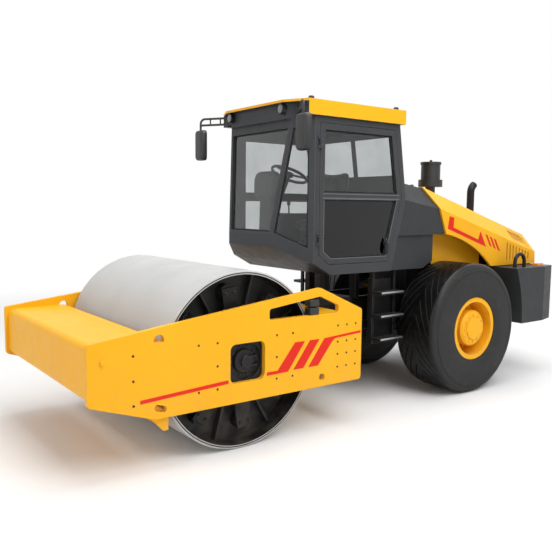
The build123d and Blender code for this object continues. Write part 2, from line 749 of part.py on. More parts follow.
def rear_frame():
    """Two deep rails with cross plates and the fork that holds the articulation."""
    x_end = rear_x(-WEIGHT_FRONT_LOW)
    outline = [
        (X_RAIL_FRONT, FORK_LOW), (X_RAIL_FRONT, RAIL_TOP), (x_end, RAIL_TOP), (x_end, RAIL_LOW),
        (rear_x(-AXLE_NOTCH_FOOT), RAIL_LOW), (rear_x(-AXLE_NOTCH), AXLE_NOTCH_TOP),
        (rear_x(AXLE_NOTCH), AXLE_NOTCH_TOP), (rear_x(AXLE_NOTCH_FOOT), RAIL_LOW),
    ]
    rail = slab_y(face_xz(outline), RAIL_HALF_GAP, RAIL_OUTER)
    body = rail + mirrored(rail)
    plates = (
        (X_RAIL_FRONT - RAIL_THICK, FORK_LOW),
        (rear_x(AXLE_NOTCH_FOOT) + RAIL_THICK, RAIL_LOW),
        (rear_x(-WEIGHT_FRONT_TOP), AXLE_NOTCH_TOP),
    )
    for x, low in plates:
        body += block(x, x + RAIL_THICK, -RAIL_OUTER, RAIL_OUTER, low, RAIL_TOP)
    for z_low in (FORK_LOW, FORK_TOP - FORK_THICK):
        points = [
            (X_RAIL_FRONT - PAST, -RAIL_OUTER), (X_PIVOT, -FORK_NOSE_RADIUS), (X_PIVOT, FORK_NOSE_RADIUS),
            (X_RAIL_FRONT - PAST, RAIL_OUTER),
        ]
        body += slab_z(points, z_low, z_low + FORK_THICK)
        body += rod_z(FORK_NOSE_RADIUS, X_PIVOT, 0, z_low, z_low + FORK_THICK)
    bracket = steer_bracket()
    body += king_pin() + bracket + mirrored(bracket)
    return body - counterweight()


def steer_bracket():
    """Clevis on the left rail that holds the base of a steering cylinder."""
    x = pivot_x(-STEER_BASE_BEHIND)
    y = STEER_BASE_SIDE
    reach = STEER_LUG_RADIUS
    body = rod_z(STEER_PIN_RADIUS, x, y, STEER_LEVEL - reach, STEER_LEVEL + reach)
    for z_low in (STEER_LEVEL - reach, STEER_LEVEL + reach / 2 + CLEVIS_GAP):
        z_high = z_low + reach / 2 - CLEVIS_GAP
        body += block(x - reach, x + reach, RAIL_OUTER - PAST, y, z_low, z_high)
        body += rod_z(reach, x, y, z_low, z_high)
    return body


def rear_axle():
    """Axle housing with its differential bulge, frame pads and wheel spindles."""
    tube_end = TYRE_INNER - AXLE_END_GAP
    z = TYRE_RADIUS
    body = rod_y(AXLE_TUBE, X_AXLE, z, -tube_end, tube_end)
    body += rod_y(AXLE_SPINDLE, X_AXLE, z, -SPINDLE_END, SPINDLE_END)
    body += Pos(X_AXLE, 0, z) * Sphere(AXLE_BULGE)
    pad = block(rear_x(-AXLE_PAD_HALF), rear_x(AXLE_PAD_HALF), RAIL_HALF_GAP, RAIL_OUTER, z, AXLE_NOTCH_TOP)
    return body + pad + mirrored(pad)


def rim():
    """Left wheel: rim barrel, dished disc and stepped hub, turning on the axle spindle."""
    inside = RIM_RADIUS - RIM_WALL
    bore = AXLE_SPINDLE + RUN_GAP
    disc_out = DISC_IN + DISC_THICK
    bore_end = SPINDLE_END + SPINDLE_END_GAP
    points = [
        (inside, RIM_INNER), (RIM_FLANGE, RIM_INNER), (RIM_FLANGE, RIM_INNER + RIM_WALL),
        (RIM_RADIUS, RIM_INNER + RIM_WALL), (RIM_RADIUS, RIM_OUTER - RIM_WALL), (RIM_FLANGE, RIM_OUTER - RIM_WALL),
        (RIM_FLANGE, RIM_OUTER), (inside, RIM_OUTER), (inside, disc_out), (HUB_RADIUS, disc_out),
        (HUB_RADIUS, RIM_OUTER - HUB_STEP), (HUB_RADIUS - HUB_BEVEL, RIM_OUTER - HUB_CAP),
        (HUB_CAP_RADIUS, RIM_OUTER - HUB_CAP), (HUB_CAP_RADIUS, RIM_OUTER), (0, RIM_OUTER), (0, bore_end),
        (bore, bore_end), (bore, DISC_IN), (inside, DISC_IN),
    ]
    return turned_y(points, X_AXLE, TYRE_RADIUS)


def spun(radius, y, turn):
    """Point at a radius, a place along Y and a turn in degrees about Y."""
    return (radius * cos(radians(turn)), y, radius * sin(radians(turn)))


def facet(*corners):
    """Flat face over its corners."""
    return make_face(Polyline(*corners, close=True)).face()


def bent(one, two, three, four):
    """Two flat faces over four corners that don't lie flat."""
    return [facet(one, two, three), facet(one, three, four)]


def tyre_rings(side):
    """Rings of one tyre side as (radius, y), from the tread's edge in to the bead seat."""
    seat = RIM_WALL + SEAT_GAP
    flat = cos(radians((GROOVE_PITCH - GROOVE_TURN) / 2))
    base = (RIM_RADIUS + SEAT_GAP) / flat
    lip = (RIM_FLANGE + BEAD_GAP) / flat
    wall, rise, rim_edge = TYRE_OUTER, BEAD_RISE_OUT, RIM_OUTER - seat
    if side < 0:
        wall, rise, rim_edge = TYRE_INNER, BEAD_RISE_IN, RIM_INNER + seat
    return [
        (TYRE_RADIUS, TYRE_MIDDLE + side * GROOVE_TO), (SHOULDER_RADIUS, wall - side * SHOULDER_WIDE),
        (FLANK_RADIUS, wall - side * FLANK_DROP), (BULGE_RADIUS, wall), (lip, wall - side * rise),
        (lip, rim_edge), (base, rim_edge),
    ]


def groove_turns(side):
    """Start and end of each groove at the tread's middle, and the start of the next."""
    first = 0 if side > 0 else GROOVE_PITCH / 2
    starts = [first + GROOVE_PITCH * step for step in range(GROOVE_COUNT)]
    return [(start, start + GROOVE_TURN, start + GROOVE_PITCH) for start in starts]


def tread_half(side):
    """Faces of half the tread: flat lands with slanted grooves between them."""
    floor = TYRE_RADIUS - GROOVE_DEPTH

    def corner(radius, level, turn):
        share = level / GROOVE_RUNS
        y = TYRE_MIDDLE + side * (GROOVE_FROM + (GROOVE_TO - GROOVE_FROM) * share)
        return spun(radius, y, turn - GROOVE_SWEEP * share)

    faces = []
    for start, end, following in groove_turns(side):
        for low in range(GROOVE_RUNS):
            high = low + 1
            for radius, one, two in ((TYRE_RADIUS, end, following), (floor, start, end)):
                faces += bent(corner(radius, low, one), corner(radius, low, two),
                              corner(radius, high, two), corner(radius, high, one))
            for turn in (start, end):
                faces += bent(corner(TYRE_RADIUS, low, turn), corner(TYRE_RADIUS, high, turn),
                              corner(floor, high, turn), corner(floor, low, turn))
        for level in (0, GROOVE_RUNS):
            faces.append(facet(corner(TYRE_RADIUS, level, start), corner(TYRE_RADIUS, level, end),
                               corner(floor, level, end), corner(floor, level, start)))
    return faces


def tyre_wall(side):
    """Faces of one shoulder, side wall and bead."""
    rings = tyre_rings(side)
    faces = []
    for start, end, following in groove_turns(side):
        for one, two in ((start, end), (end, following)):
            for (r_one, y_one), (r_two, y_two) in zip(rings, rings[1:]):
                faces.append(facet(spun(r_one, y_one, one - GROOVE_SWEEP), spun(r_two, y_two, one - GROOVE_SWEEP),
                                   spun(r_two, y_two, two - GROOVE_SWEEP), spun(r_one, y_one, two - GROOVE_SWEEP)))
    return faces


def joining_band(radius, y_plus, y_minus, sweep):
    """Faces between the two halves' rings, whose corners lie half a pitch apart."""
    half = GROOVE_PITCH / 2
    faces = []
    for start, end, following in groove_turns(1):
        one, two, three = [spun(radius, y_plus, turn - sweep) for turn in (start, end, following)]
        before, ahead, past = [spun(radius, y_minus, turn - sweep) for turn in (end - half, start + half, end + half)]
        faces += [facet(one, two, before), facet(two, ahead, before), facet(two, past, ahead),
                  facet(two, three, past)]
    return faces


def tyre():
    """Left tyre: flat-faceted carcass with slanted grooves on both halves of its tread."""
    faces = joining_band(TYRE_RADIUS, TYRE_MIDDLE + GROOVE_FROM, TYRE_MIDDLE - GROOVE_FROM, 0)
    base, outer = tyre_rings(1)[-1]
    inner = tyre_rings(-1)[-1][1]
    faces += joining_band(base, outer, inner, GROOVE_SWEEP)
    for side in (1, -1):
        faces += tread_half(side) + tyre_wall(side)
    return Pos(X_AXLE, 0, TYRE_RADIUS) * Solid(Shell(faces))


# Cab

def cab_side_face():
    """Side outline of the cab shell."""
    return face_xz([
        (rear_x(CAB_NOSE), CAB_NOSE_LOW), (rear_x(CAB_NOSE), CAB_NOSE_SILL), (rear_x(CAB_SCREEN_TOP), CAB_TOP),
        (rear_x(CAB_REAR_TOP), CAB_TOP), (rear_x(CAB_REAR_MID), CAB_BELT), (rear_x(CAB_REAR_LOW), CAB_FLOOR),
        (rear_x(CAB_SILL_FRONT), CAB_FLOOR),
    ])


def cab_plan(inset):
    """Plan outline of the cab, set in by a wall."""
    half = CAB_HALF
    points = [
        (rear_x(0), -half), (rear_x(CAB_CORNER), -half), (rear_x(CAB_NOSE), -CAB_NOSE_HALF),
        (rear_x(CAB_NOSE), CAB_NOSE_HALF), (rear_x(CAB_CORNER), half), (rear_x(0), half),
    ]
    face = make_face(Polyline(*[(x, y, 0) for x, y in points], close=True))
    if inset:
        face = offset(face, -inset, kind=Kind.INTERSECTION)
    return Pos(0, 0, CAB_FLOOR / 2) * extrude(face, amount=CAB_TOP, dir=(0, 0, 1))


def cab_hollow():
    """Room inside the cab's walls."""
    side = offset(cab_side_face(), -CAB_WALL, kind=Kind.INTERSECTION)
    return slab_y(side, -CAB_HALF, CAB_HALF) & cab_plan(CAB_WALL)


def cab_shell():
    """Hollow cab body, open at the top where the roof closes it."""
    outer = slab_y(cab_side_face(), -CAB_HALF, CAB_HALF) & cab_plan(0)
    mouth = block(rear_x(CAB_REAR_TOP + CAB_WALL), rear_x(CAB_SCREEN_TOP - CAB_WALL), -INNER_HALF, INNER_HALF,
                  CAB_TOP - CAB_WALL * 2, CAB_TOP + PAST) & cab_plan(CAB_WALL)
    return outer - cab_hollow() - mouth


def door_face(inset):
    """Side outline of the door opening, set in by a gap."""
    face = face_xz([
        (rear_x(CAB_CORNER - POST), CAB_FLOOR + DOOR_SILL_FRONT), (rear_x(CAB_CORNER - POST), CAB_TOP - POST),
        (rear_x(CAB_REAR_TOP + POST), CAB_TOP - POST), (rear_x(CAB_REAR_MID + POST), CAB_BELT),
        (rear_x(CAB_REAR_LOW + DOOR_REAR_POST), CAB_FLOOR + DOOR_SILL),
        (rear_x(CAB_SILL_FRONT + DOOR_SILL_AHEAD), CAB_FLOOR + DOOR_SILL),
    ])
    return offset(face, -inset, kind=Kind.INTERSECTION) if inset else face


def pane_faces(inset):
    """Side outlines of the upper and lower window of a door."""
    whole = slab_y(door_face(DOOR_GAP + POST + inset), 0, PAST)
    x_from = rear_x(0)
    x_to = rear_x(CAB_NOSE)
    upper = whole & block(x_from, x_to, 0, PAST, CAB_BELT + BELT_RAIL / 2 + inset, CAB_TOP)
    lower = whole & block(x_from, x_to, 0, PAST, CAB_FLOOR, CAB_BELT - BELT_RAIL / 2 - inset)
    return [solid.faces().sort_by(Axis.Y)[0] for solid in (upper, lower)]


DOOR_AXIS_X = rear_x(CAB_CORNER - POST) - DOOR_GAP / 2
DOOR_AXIS_Y = CAB_HALF + HINGE_KNUCKLE


def door_hinges():
    """Moving and fixed halves of the door hinges at their places."""
    leaf = HINGE_KNUCKLE * 2
    moving, fixed = hinge_parts((-leaf, 0, -HINGE_KNUCKLE, 0), (0, leaf, -HINGE_KNUCKLE, 0))
    places = [Pos(DOOR_AXIS_X, DOOR_AXIS_Y, level) for level in DOOR_HINGE_LEVELS]
    return [place * moving for place in places], [place * fixed for place in places]


def door():
    """Cab door on the left, hinged at its front edge."""
    leaf = slab_y(door_face(DOOR_GAP), INNER_HALF, CAB_HALF)
    for face in pane_faces(0):
        leaf -= slab_y(face, INNER_HALF - PAST, CAB_HALF + PAST)
    for knuckle in door_hinges()[0]:
        leaf += knuckle
    return leaf


def side_panes():
    """The two panes of a door or side wall, left side."""
    near = (INNER_HALF + CAB_HALF - GLASS_THICK) / 2
    return [slab_y(face, near, near + GLASS_THICK) for face in pane_faces(SEAT_GAP)]


def cab_sides(shell):
    """Left wall round the door and right wall with two windows."""
    left = shell & block(rear_x(0), rear_x(CAB_CORNER), INNER_HALF, CAB_HALF, 0, CAB_TOP)
    right = mirrored(left)
    left -= slab_y(door_face(0), INNER_HALF - PAST, CAB_HALF + PAST)
    for knuckle in door_hinges()[1]:
        left += knuckle
    for face in pane_faces(0):
        right -= mirrored(slab_y(face, INNER_HALF - PAST, CAB_HALF + PAST))
    return left, right


def screen_half_at(level):
    """Half width of the cab's front face at a height."""
    lean = (CAB_NOSE - CAB_SCREEN_TOP) / (CAB_NOSE - CAB_CORNER)
    gain = (CAB_HALF - CAB_NOSE_HALF) * lean
    return CAB_NOSE_HALF + gain * (level - CAB_NOSE_SILL) / (CAB_TOP - CAB_NOSE_SILL)


def screen_points(inset):
    """Windscreen outline as (y, z) points."""
    low = CAB_NOSE_SILL + SCREEN_SILL + inset
    high = CAB_TOP - SCREEN_HEAD - inset
    low_half = screen_half_at(low) - SCREEN_POST - inset
    high_half = screen_half_at(high) - SCREEN_POST - inset
    return [(-low_half, low), (low_half, low), (high_half, high), (-high_half, high)]


def corner_plane():
    """Plane of the left front corner pane, its X running from nose to door post."""
    along = Vector(CAB_CORNER - CAB_NOSE, CAB_HALF - CAB_NOSE_HALF, 0).normalized()
    out = Vector(CAB_HALF - CAB_NOSE_HALF, CAB_NOSE - CAB_CORNER, 0).normalized()
    return Plane(origin=(rear_x(CAB_NOSE), CAB_NOSE_HALF, 0), x_dir=along, z_dir=out)


def corner_face(inset):
    """Outline of the left corner pane on its plane."""
    width = hypot(CAB_NOSE - CAB_CORNER, CAB_HALF - CAB_NOSE_HALF)
    lean = width * (CAB_NOSE - CAB_SCREEN_TOP) / (CAB_NOSE - CAB_CORNER)
    run = CAB_TOP - CAB_NOSE_SILL
    high = CAB_TOP - SCREEN_HEAD
    low = CAB_NOSE_SILL + CORNER_SILL
    far = width - SCREEN_POST * 2
    points = [
        (SCREEN_POST + lean * (low - CAB_NOSE_SILL) / run, low), (far, CAB_NOSE_SILL - CORNER_DROP), (far, high),
        (SCREEN_POST + lean * (high - CAB_NOSE_SILL) / run, high),
    ]
    plane = corner_plane()
    face = make_face(Polyline(*[plane.from_local_coords((u, v, 0)) for u, v in points], close=True))
    return offset(face, -inset, kind=Kind.INTERSECTION) if inset else face


def corner_slab(inset, depth_in, depth_out):
    """Solid over the left corner pane outline between two depths."""
    normal = corner_plane().z_dir
    start = Pos(*tuple(normal * depth_in))
    return start * extrude(corner_face(inset), amount=depth_out - depth_in, dir=normal)


def header_plan(wall):
    """Plan outline of the dark header over the windscreen, set in by a wall."""
    half = INNER_HALF - wall
    nose = rear_x(HEADER_NOSE - wall)
    nose_half = HEADER_NOSE_HALF - wall / 2
    bend = rear_x(HEADER_SIDE_END - wall / 2)
    start = rear_x(CAB_CORNER) - (PAST if wall else 0)
    return [(start, -half), (bend, -half), (nose, -nose_half), (nose, nose_half), (bend, half), (start, half)]


def cab_front(shell):
    """Front of the cab from door post to door post, with three windows and the header above them."""
    body = shell & block(rear_x(CAB_CORNER), rear_x(CAB_NOSE) + PAST, -CAB_HALF, CAB_HALF, 0, CAB_TOP)
    body -= slab_x(screen_points(0), rear_x(CAB_CORNER + SCREEN_CUT), rear_x(CAB_NOSE) + PAST)
    hole = corner_slab(0, -CAB_WALL - CORNER_CUT, CORNER_CUT)
    header = slab_z(header_plan(0), CAB_TOP - HEADER_LAP, ROOF_TOP - ROOF_PLATE)
    header -= slab_z(header_plan(HEADER_WALL), CAB_TOP - HEADER_LAP - PAST, ROOF_TOP)
    return body - hole - mirrored(hole) + header


def cab_rear(shell):
    """Rear wall of the cab with its window."""
    body = shell & block(rear_x(0), rear_x(FLOOR_JOIN), -INNER_HALF, INNER_HALF, CAB_FLOOR + CAB_WALL, CAB_TOP)
    return body - slab_x(rear_window_points(0), rear_x(0), rear_x(FLOOR_JOIN))


def rear_window_points(inset):
    """Rear window outline as (y, z) points."""
    half = INNER_HALF - REAR_PANE_SIDE - inset
    low = CAB_BELT + REAR_PANE_SILL + inset
    high = CAB_TOP - REAR_PANE_HEAD - inset
    return [(-half, low), (half, low), (half, high), (-half, high)]


def cab_floor(shell):
    """Floor of the cab between its side walls, flat and then rising to the nose."""
    flat = shell & block(rear_x(0), rear_x(FLOOR_JOIN), -INNER_HALF, INNER_HALF, 0, CAB_FLOOR + CAB_WALL)
    rise = shell & block(rear_x(FLOOR_JOIN), rear_x(CAB_CORNER), -INNER_HALF, INNER_HALF, 0, CAB_BELT)
    return flat + rise


def lean_slab(points, bottom, top, thickness):
    """Pane over (y, z) points, leaning from one (x, z) place to another."""
    (x_low, z_low), (x_high, z_high) = bottom, top
    slope = (x_high - x_low) / (z_high - z_low)
    face = make_face(Polyline(*[(x_low + slope * (z - z_low), y, z) for y, z in points], close=True))
    return Pos(-thickness / 2, 0, 0) * extrude(face, amount=thickness, dir=(1, 0, 0))


def cab_glass():
    """Fixed panes: windscreen, corner panes, right side panes and rear window."""
    mid = CAB_WALL / 2
    screen = lean_slab(screen_points(SEAT_GAP), (rear_x(CAB_NOSE) - mid, CAB_NOSE_SILL),
                       (rear_x(CAB_SCREEN_TOP) - mid, CAB_TOP), GLASS_THICK)
    corner = corner_slab(SEAT_GAP, -mid - GLASS_THICK / 2, -mid + GLASS_THICK / 2)
    rear = lean_slab(rear_window_points(SEAT_GAP), (rear_x(CAB_REAR_MID) + mid, CAB_BELT),
                     (rear_x(CAB_REAR_TOP) + mid, CAB_TOP), GLASS_THICK)
    panes = [screen, corner, mirrored(corner), rear]
    panes += [mirrored(pane) for pane in side_panes()]
    return Compound(children=panes)


def roof_lug(x, y):
    """Small lifting lug on the roof, along the machine."""
    high = ROOF_TOP + ROOF_LUG_HIGH
    lug = block(x - ROOF_LUG / 2, x + ROOF_LUG / 2, y - ROOF_LUG_THICK / 2, y + ROOF_LUG_THICK / 2,
                ROOF_TOP - PAST, high)
    edges = lug.edges().filter_by(Axis.Y).sort_by(Axis.Z)[-2:]
    return fillet(edges, ROOF_LUG_HIGH / 2)


def roof():
    """Roof plate with skirts at sides and rear, a thin front edge and four lifting lugs."""
    plan = [
        (rear_x(ROOF_REAR), -ROOF_HALF), (rear_x(ROOF_CORNER), -ROOF_HALF), (rear_x(ROOF_NOSE), -ROOF_NOSE_HALF),
        (rear_x(ROOF_NOSE), ROOF_NOSE_HALF), (rear_x(ROOF_CORNER), ROOF_HALF), (rear_x(ROOF_REAR), ROOF_HALF),
    ]
    body = slab_z(plan, CAB_TOP, ROOF_TOP)
    under = ROOF_TOP - ROOF_PLATE
    body -= block(rear_x(CAB_REAR_TOP + CAB_WALL), rear_x(ROOF_CORNER), -INNER_HALF, INNER_HALF, CAB_TOP - PAST, under)
    body -= block(rear_x(ROOF_CORNER), rear_x(ROOF_NOSE) + PAST, -CAB_HALF * 2, CAB_HALF * 2, CAB_TOP - PAST, under)
    for ahead in (ROOF_REAR + ROOF_LUG * 2, ROOF_CORNER - ROOF_LUG):
        lug = roof_lug(rear_x(ahead), ROOF_HALF - ROOF_LUG_INSET)
        body += lug + mirrored(lug)
    return body


# Cab inside

def seat_base():
    """Seat pedestal on the cab floor."""
    half = PEDESTAL_HALF
    return block(rear_x(SEAT_X - half), rear_x(SEAT_X + half), -half, half, CAB_FLOOR + CAB_WALL, SEAT_LEVEL - SEAT_PAD)


def seat():
    """Seat cushion and backrest as one padded form."""
    x_back = rear_x(SEAT_X - SEAT_BEHIND)
    cushion = block(x_back, rear_x(SEAT_X + SEAT_AHEAD), -SEAT_HALF, SEAT_HALF, SEAT_LEVEL - SEAT_PAD,
                    SEAT_LEVEL + SEAT_PAD)
    top = SEAT_LEVEL + SEAT_BACK_HIGH
    back = block(x_back, x_back + SEAT_BACK_THICK, -SEAT_HALF, SEAT_HALF, SEAT_LEVEL, top)
    back = fillet(back.edges().filter_by(Axis.X).sort_by(Axis.Z)[-2:], SEAT_EDGE * 2)
    front = cushion.edges().filter_by(Axis.Z).sort_by(Axis.X)[-2:]
    return fillet(front, SEAT_EDGE * 2) + back


def console():
    """Steering column and rounded instrument pod on a foot, ahead of the wheel."""
    foot = block(rear_x(CONSOLE_REAR), rear_x(CONSOLE_FRONT), -CONSOLE_HALF, CONSOLE_HALF, CAB_FLOOR, POD_LOW + PAST)
    pod = block(rear_x(POD_REAR), rear_x(POD_FRONT), -POD_HALF, POD_HALF, POD_LOW, POD_TOP)
    pod = fillet(pod.edges().filter_by(Axis.X).sort_by(Axis.Z)[-2:], POD_EDGE)
    half = WHEEL_HUB_HIGH / 2
    column = wheel_place() * rod_z(COLUMN_RADIUS, 0, 0, -half - COLUMN_LENGTH, -half)
    return (foot & cab_hollow()) + pod + column


def wheel_place():
    """Placement of the steering wheel, its axis along local Z."""
    return Pos(rear_x(WHEEL_X), 0, WHEEL_LEVEL) * Rot(0, -WHEEL_TILT, 0)


def steering_wheel():
    """Steering wheel with hub, spokes and turning knob."""
    body = Torus(WHEEL_RADIUS, WHEEL_BAR) + Cylinder(WHEEL_HUB, WHEEL_HUB_HIGH)
    spoke = block(0, WHEEL_RADIUS, -WHEEL_SPOKE / 2, WHEEL_SPOKE / 2, -WHEEL_SPOKE_THICK / 2, WHEEL_SPOKE_THICK / 2)
    for step in range(WHEEL_SPOKES):
        body += Rot(0, 0, 360 / WHEEL_SPOKES * step) * spoke
    body += Rot(0, 0, KNOB_TURN) * rod_z(KNOB_RADIUS, WHEEL_RADIUS, 0, 0, KNOB_HIGH)
    return wheel_place() * body


# Cowl, hood and what is under them

def shell_points(level, half, top_half, base, shoulder):
    """Cross outline of cowl or hood as (y, z) points."""
    return [
        (-half, base), (half, base), (half, level), (top_half, level + shoulder), (-top_half, level + shoulder),
        (-half, level),
    ]


def sheared(points, x_from, length, slope):
    """Prism along the machine whose cross outline sinks towards the rear."""
    face = make_face(Polyline(*[(x_from, y, z) for y, z in points], close=True))
    return extrude(face, amount=length * sqrt(1 + slope * slope), dir=Vector(-1, 0, -slope))


def crease_at(ahead):
    """Height of the hood's side crease at a place forward of the axle."""
    return HOOD_CREASE_LEVEL - HOOD_SLOPE * (HOOD_CREASE_FRONT - ahead)


HOOD_FRONT_LEAN = (HOOD_CREASE_FRONT - HOOD_FRONT_LOW) / (HOOD_CREASE_LEVEL - HOOD_FRONT_LOW_LEVEL)
HOOD_LIP_AHEAD = HOOD_FRONT_LEAN * HOOD_SHOULDER / (1 - HOOD_FRONT_LEAN * HOOD_SLOPE)
HOOD_AXIS_X = rear_x(HOOD_CREASE_FRONT) + HOOD_LIP_AHEAD + MOVE_GAP / 2
HOOD_AXIS_Z = HOOD_CREASE_LEVEL + HOOD_SHOULDER + HOOD_SLOPE * HOOD_LIP_AHEAD + HINGE_KNUCKLE


def hood_side_face(inset):
    """Side outline of the hood with the curved wheel arch."""
    tall = HOOD_CREASE_LEVEL + HOOD_SHOULDER + HOOD_TALL
    x_tall = rear_x(HOOD_CREASE_FRONT) + HOOD_FRONT_LEAN * (tall - HOOD_CREASE_LEVEL)
    front = (rear_x(HOOD_FRONT_LOW), 0, HOOD_FRONT_LOW_LEVEL)
    middle = (rear_x(-HOOD_ARCH_MID), 0, HOOD_ARCH_LEVEL)
    end = (rear_x(-HOOD_ARCH_END), 0, HOOD_BASE)
    x_rear = rear_x(-REAR_OVERHANG + inset)
    rest = Polyline(end, (x_rear, 0, HOOD_BASE), (x_rear + HOOD_REAR_LEAN, 0, tall), (x_tall, 0, tall), front)
    return make_face(rest + ThreePointArc(front, middle, end))


def hood_prism(wall, base):
    """Long prism of the hood's cross outline, set in by a wall."""
    x_from = rear_x(HOOD_CREASE_FRONT + HOOD_REACH)
    level = HOOD_CREASE_LEVEL + HOOD_SLOPE * HOOD_REACH
    length = REAR_OVERHANG + HOOD_CREASE_FRONT + HOOD_REACH + HOOD_TALL
    sink = wall * HOOD_WALL_SINK
    points = shell_points(level - sink, HOOD_HALF - wall, HOOD_TOP_HALF - sink, base, HOOD_SHOULDER - wall + sink)
    return sheared(points, x_from, length, HOOD_SLOPE)


def hood_louvres():
    """Cutters for the upright louvres in the hood's left side."""
    cutters = []
    for step in range(LOUVRE_COUNT):
        behind = LOUVRE_FIRST + LOUVRE_PITCH * step
        x = rear_x(-behind)
        top = crease_at(-behind) - LOUVRE_HEAD
        cutters.append(block(x - LOUVRE_WIDE / 2, x + LOUVRE_WIDE / 2, HOOD_HALF - HOOD_WALL - PAST, HOOD_HALF + PAST,
                             LOUVRE_LOW, top))
    return cutters


def hood_recess():
    """Cutter for the shallow panel in the hood's left shoulder."""
    fall = HOOD_SHOULDER / (HOOD_HALF - HOOD_TOP_HALF)
    corners = [(-RECESS_FRONT, RECESS_IN), (-RECESS_REAR, RECESS_IN), (-RECESS_REAR, RECESS_OUT),
               (-RECESS_FRONT, RECESS_OUT)]
    points = [(rear_x(a), y, crease_at(a) + (HOOD_HALF - y) * fall) for a, y in corners]
    face = make_face(Polyline(*points, close=True))
    return Pos(0, 0, RECESS_DEPTH) * extrude(face, amount=RECESS_DEPTH * 2, dir=(0, 0, -1))


def hood_grille():
    """Cutters for the slots of the grille in the hood's rear."""
    x_rear = rear_x(-REAR_OVERHANG)
    levels = [GRILLE_LOW + GRILLE_PITCH * step for step in range(GRILLE_COUNT)]
    reach = HOOD_WALL + HOOD_REAR_LEAN
    return [block(x_rear - PAST, x_rear + reach, -GRILLE_HALF, GRILLE_HALF, z, z + GRILLE_HIGH) for z in levels]


def hood():
    """Engine hood shell, open below and towards the cowl, with louvres, grille and shoulder panels."""
    body = hood_prism(0, 0) & slab_y(hood_side_face(0), -HOOD_HALF - PAST, HOOD_HALF + PAST)
    hollow = hood_prism(HOOD_WALL, -HOOD_TALL) & slab_y(hood_side_face(HOOD_WALL), -HOOD_HALF, HOOD_HALF)
    body = body - hollow - (Pos(0, 0, -HOOD_WALL) * hollow)
    for cutter in hood_louvres() + [hood_recess()]:
        body -= cutter
        body -= mirrored(cutter)
    for cutter in hood_grille():
        body -= cutter
    for knuckle in hood_hinges()[0]:
        body += knuckle
    return body


def hood_hinges():
    """Moving and fixed halves of the hood hinges at their places."""
    leaf = HINGE_KNUCKLE * 2
    moving, fixed = hinge_parts((-leaf, -MOVE_GAP, 0, HOOD_LEAF_DROP), (MOVE_GAP, leaf, 0, HOOD_LEAF_DROP))
    places = [Pos(HOOD_AXIS_X, side, HOOD_AXIS_Z) * Rot(-90, 0, 0) for side in HOOD_HINGE_SIDES]
    return [place * moving for place in places], [place * fixed for place in places]


def cab_back_x(level):
    """X just behind the cab's rear wall at a height."""
    seat = rear_x(CAB_REAR_MID) - SEAT_GAP
    if level > CAB_BELT:
        return seat + (level - CAB_BELT) * (CAB_REAR_TOP - CAB_REAR_MID) / (CAB_TOP - CAB_BELT)
    return seat + (CAB_BELT - level) * (CAB_REAR_LOW - CAB_REAR_MID) / (CAB_BELT - CAB_FLOOR)


def cowl_skirt():
    """Left panel below the cowl, between the cab and the wheel arch."""
    top = COWL_BASE + SKIRT_LAP
    points = [
        (cab_back_x(CAB_FLOOR), CAB_FLOOR), (rear_x(SKIRT_REAR), CAB_FLOOR), (rear_x(SKIRT_REAR), top),
        (cab_back_x(top), top),
    ]
    panel = slab_y(face_xz(points), SKIRT_OUT - COWL_WALL, SKIRT_OUT)
    return panel - rod_y(TYRE_RADIUS + SKIRT_TYRE_GAP, X_AXLE, TYRE_RADIUS, 0, CAB_HALF)


def cowl_prism(wall, base):
    """Long prism of the cowl's cross outline, set in by a wall."""
    start = CAB_REAR_MID + COWL_REACH
    level = HOOD_CREASE_LEVEL + COWL_SLOPE * (start - HOOD_CREASE_FRONT)
    sink = wall * HOOD_WALL_SINK
    points = shell_points(level - sink, HOOD_HALF - COWL_INSET - wall, HOOD_TOP_HALF - COWL_INSET - sink, base,
                          HOOD_SHOULDER - wall + sink)
    return sheared(points, rear_x(start), start, COWL_SLOPE)


def cowl():
    """Cowl between cab and hood with a panel below it on each side."""
    shell = cowl_prism(0, 0) - cowl_prism(COWL_WALL, -HOOD_TALL)
    points = [
        (rear_x(HOOD_FRONT_LOW) + MOVE_GAP, COWL_BASE),
        (rear_x(HOOD_CREASE_FRONT) + MOVE_GAP + HOOD_FRONT_LEAN * (COWL_TALL - HOOD_CREASE_LEVEL), COWL_TALL),
        (cab_back_x(COWL_TALL), COWL_TALL),
        (cab_back_x(CAB_BELT), CAB_BELT),
        (cab_back_x(COWL_BASE), COWL_BASE),
    ]
    body = shell & slab_y(face_xz(points), -HOOD_HALF, HOOD_HALF)
    skirt = cowl_skirt()
    body += skirt + mirrored(skirt)
    for knuckle in hood_hinges()[1]:
        body += knuckle
    return body


def bay_sides():
    """Inner fender walls beside the engine, up under the hood."""
    points = [
        (rear_x(BAY_FRONT), RAIL_TOP), (rear_x(BAY_FRONT), crease_at(BAY_FRONT) - BAY_DROP),
        (rear_x(-BAY_REAR), crease_at(-BAY_REAR) - BAY_DROP), (rear_x(-BAY_FOOT), RAIL_TOP),
    ]
    wall = slab_y(face_xz(points), BAY_HALF - BAY_WALL, BAY_HALF)
    shelf = block(rear_x(-BAY_FOOT), rear_x(BAY_FRONT), RAIL_OUTER, BAY_HALF - BAY_WALL, RAIL_TOP, RAIL_TOP + BAY_WALL)
    side = wall + shelf
    return Compound(children=[side, mirrored(side)])


def engine_block():
    """Engine as one plain block on the rails."""
    return block(rear_x(-ENGINE_REAR), rear_x(ENGINE_FRONT), -RAIL_OUTER, RAIL_OUTER, RAIL_TOP, ENGINE_TOP)


